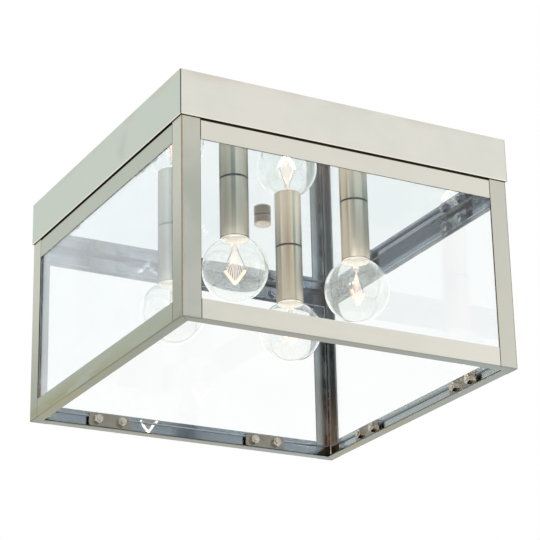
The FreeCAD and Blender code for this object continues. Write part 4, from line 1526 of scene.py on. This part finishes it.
@dataclass
class KnurledFinial:
    """The knurled cap nut in the middle of the plate, and its washer."""

    finishes: Finishes
    teeth: int = 30
    depth: float = 0.5 * MM
    chamfer: float = 0.7 * MM
    bore: float = 5.2 * MM
    bore_depth: float = 4.0 * MM
    fade: float = 0.3 * MM

    def knurl(self, height: Array, angle: Array, radius: float, low: float, high: float) -> Array:
        """How deep the knurl is: the deeper of two families of V grooves that cross, faded out at both ends.

        Args:
            height: Heights of the points.
            angle: Angles of the points.
            radius: Outer radius of the finial.
            low: Lower end of the knurled band.
            high: Its upper end.

        Returns:
            The depth at each point, from 0 to 1.
        """
        around = angle * self.teeth / FULL_TURN
        climb = (height - low) * self.teeth / (FULL_TURN * radius)
        first = np.abs(np.mod(around + climb, 1.0) * 2 - 1)
        second = np.abs(np.mod(around - climb, 1.0) * 2 - 1)
        inside = np.clip((height - low) / self.fade, 0, 1) * np.clip((high - height) / self.fade, 0, 1)
        return np.maximum(first, second) ** 2 * inside

    def build(self) -> None:
        """Makes the finial: end face, chamfer, knurled side, upper chamfer and bore in one turned profile."""
        low, high = corner_box("knurled_finial")
        radius, bottom, top = float(high[0] - low[0]) / 2, float(low[2]), float(high[2])
        rim, columns, axis = radius - self.chamfer, self.teeth * 10, np.zeros(2)
        start, end = bottom + self.chamfer * 1.6, top - self.chamfer
        angle = np.arange(columns) * FULL_TURN / columns
        rows = np.linspace(bottom + self.chamfer, end, 72)[:, None]
        reach = radius - self.depth * self.knurl(rows, angle[None, :], radius, start, end)
        height = np.broadcast_to(rows, reach.shape)
        side = np.stack([reach * np.cos(angle), reach * np.sin(angle), height], axis=-1)
        under = np.array([(0.0, bottom), (radius * 0.5, bottom), (rim, bottom),
                          (radius, bottom + self.chamfer)])
        over = np.array([(radius, end), (rim, top), (self.bore, top), (self.bore, top - self.bore_depth),
                         (0.0, top - self.bore_depth)])
        metal = KnurledNickel("knurled_nickel", (0.60, 0.525, 0.415), (0.72, 0.615, 0.49), roughness=0.2,
                              grain=Grain.ALONG_Z, patch_scale=150.0, radius=radius, depth=self.depth,
                              level=(start + end) / 2, reach=(end - start) / 2)
        grid = np.concatenate([revolved(under, axis, columns), side[1:-1], revolved(over, axis, columns)])
        piece = self.finishes.piece("diamond_knurled_finial", metal, grid)
        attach(piece, "finial")
        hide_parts("knurled_finial")
        washer = BrushedMetal("washer_nickel", (0.15, 0.138, 0.115), (0.19, 0.175, 0.15), roughness=0.5)
        self.finishes.dress(washer, "finial_washer")
        LOG.info("finial made")


@dataclass
class Studio:
    """Floor, world, soft lamps and the camera at the photograph's angle."""

    finishes: Finishes
    floor_height: float = -1.1
    floor_reach: float = 3.0
    floor_rings: int = 24
    bounces: int = 24
    glossy_bounces: int = 10
    aim: Place = (0.0, 0.0, -0.1)
    lens: float = 131.57
    farthest: float = 50.0
    camera_place: Place = (-0.69356, -1.27728, -0.64160)
    camera_right: Place = (0.88041989, -0.47379264, -0.01952834)
    camera_up: Place = (-0.15402251, -0.32467441, 0.93320073)
    camera_back: Place = (-0.44848398, -0.81860068, -0.35882454)
    daylight: float = 0.85
    dim_side: Place = (-0.48, 0.88, 0.0)
    dim_colour: Colour = (0.86, 0.92, 0.88)

    def camera(self) -> None:
        """The camera, whose three axes were fitted to the object's edges in the photograph."""
        data = bpy.data.cameras.new("camera")
        data.lens = self.lens
        data.clip_end = self.farthest
        made = bpy.data.objects.new("camera", data)
        bpy.context.scene.collection.objects.link(made)
        turn = Matrix((self.camera_right, self.camera_up, self.camera_back)).transposed()
        made.matrix_world = Matrix.Translation(self.camera_place) @ turn.to_4x4()
        bpy.context.scene.camera = made

    def world(self) -> None:
        """An even sky: white to the camera and through glass, dimmer as light, with one side dim in gloss."""
        world = bpy.data.worlds.new("studio_world")
        world.use_nodes = True
        bpy.context.scene.world = world
        graph = Graph(world.node_tree)
        clear = graph.ray("Is Camera Ray").max(graph.ray("Is Transmission Ray"))
        seen = clear.max(graph.ray("Is Glossy Ray"))
        direction = graph.read("ShaderNodeTexCoord", "Generated")
        towards = direction.vector("DOT_PRODUCT", self.dim_side).ramp(0.0, 0.9)
        dim = towards * direction.split()[2].ramp(-0.05, 0.3) * (1.0 - clear)
        back = graph.node("ShaderNodeBackground", dim.mix((1.0, 1.0, 1.0), self.dim_colour),
                          seen.ramp(0.0, 1.0, self.daylight, 1.0))
        graph.node("ShaderNodeOutputWorld", back.outputs[0])

    def floor(self) -> None:
        """A pale round floor, in rings that lie closer together near its middle."""
        reach = np.linspace(0, 1, self.floor_rings) ** 1.5 * self.floor_reach
        profile = np.stack([reach, np.full(self.floor_rings, self.floor_height)], axis=-1)
        piece = self.finishes.piece("pale_floor", FloorPaint("pale_floor", self.floor_reach),
                                    revolved(profile, np.zeros(2), 96))
        if piece.data.polygons[0].normal.z < 0:
            piece.data.flip_normals()

    def lamp(self, name: str, place: Place, width: float, power: float) -> None:
        """A square soft lamp that looks at the middle of the light.

        Args:
            name: Name of the lamp.
            place: Where it stands.
            width: Side of the square.
            power: Its power in watts.
        """
        data = bpy.data.lights.new(name, "AREA")
        data.shape = "SQUARE"
        data.size = width
        data.energy = power
        made = bpy.data.objects.new(name, data)
        bpy.context.scene.collection.objects.link(made)
        towards = (Vector(self.aim) - Vector(place)).to_track_quat("-Z", "Y")
        made.matrix_world = Matrix.Translation(place) @ towards.to_matrix().to_4x4()
        made.visible_camera = False

    def build(self) -> None:
        """Sets up the studio."""
        scene = bpy.context.scene
        scene.view_settings.view_transform = "Standard"
        scene.cycles.max_bounces = self.bounces
        scene.cycles.transmission_bounces = self.bounces
        scene.cycles.glossy_bounces = self.glossy_bounces
        scene.cycles.transparent_max_bounces = self.bounces
        self.camera()
        self.world()
        self.floor()
        self.lamp("key_lamp", (-1.6, -1.8, 0.6), 1.2, 9.0)
        self.lamp("fill_lamp", (1.8, -1.2, -0.2), 1.2, 4.0)
        LOG.info("studio set up")


# Painted reflections on the sleeves: stops of tone across each tube; LAMPS gives each lamp's filament angle,
# its bands, and the painted light at its lower end.
LEFT_BANDS: Bands = (
    (0.0, Tone.SHADE), (0.03, Tone.SHADE), (0.07, Tone.OLIVE), (0.22, Tone.OLIVE), (0.38, Tone.STONE),
    (0.44, Tone.GREEN), (0.54, Tone.GREEN), (0.60, Tone.MIST), (0.80, Tone.STONE), (0.92, Tone.OLIVE),
    (0.96, Tone.SHADE), (1.0, Tone.SHADE))
RIGHT_BANDS: Bands = (
    (0.0, Tone.SHADE), (0.03, Tone.SHADE), (0.07, Tone.BEIGE), (0.18, Tone.BEIGE), (0.25, Tone.TAN),
    (0.30, Tone.PALE), (0.36, Tone.STONE), (0.46, Tone.OLIVE), (0.56, Tone.MIST), (0.76, Tone.MIST),
    (0.82, Tone.GREEN), (0.93, Tone.GREEN), (0.965, Tone.SHADE), (1.0, Tone.SHADE))
MIDDLE_BANDS: Bands = (
    (0.0, Tone.SHADE), (0.03, Tone.SHADE), (0.08, Tone.OLIVE), (0.18, Tone.OLIVE), (0.24, Tone.PALE),
    (0.29, Tone.BEIGE), (0.40, Tone.MAUVE), (0.48, Tone.TAN), (0.58, Tone.BEIGE), (0.64, Tone.PALE),
    (0.70, Tone.GREEN), (0.78, Tone.MIST), (0.92, Tone.OLIVE), (0.965, Tone.SHADE), (1.0, Tone.SHADE))
LAMPS = {1: (-28.0, LEFT_BANDS, 0.4), 2: (20.0, RIGHT_BANDS, 0.65), 3: (5.0, MIDDLE_BANDS, 0.6),
         4: (50.0, LEFT_BANDS, 0.2)}


def main() -> None:
    """Builds the studio and every part of the light, in order."""
    logging.basicConfig(level=logging.INFO, format="%(message)s")
    build_brushed_grain()
    build_cloudy_tarnish()
    build_seam_line()
    finishes = Finishes()
    Studio(finishes).build()
    CanopyPan(finishes).build()
    ReflectorPlate(finishes).build()
    LanternFrame(finishes).build()
    GlassClips(finishes).build()
    SolderBeads(finishes).build()
    for number, (degrees, bands, lift) in LAMPS.items():
        CandleLamp(number, finishes, degrees, bands, lift).build()
    KnurledFinial(finishes).build()
    finishes.dress(BRASS, "lampholder_contacts")


if __name__ == "__main__":
    main()
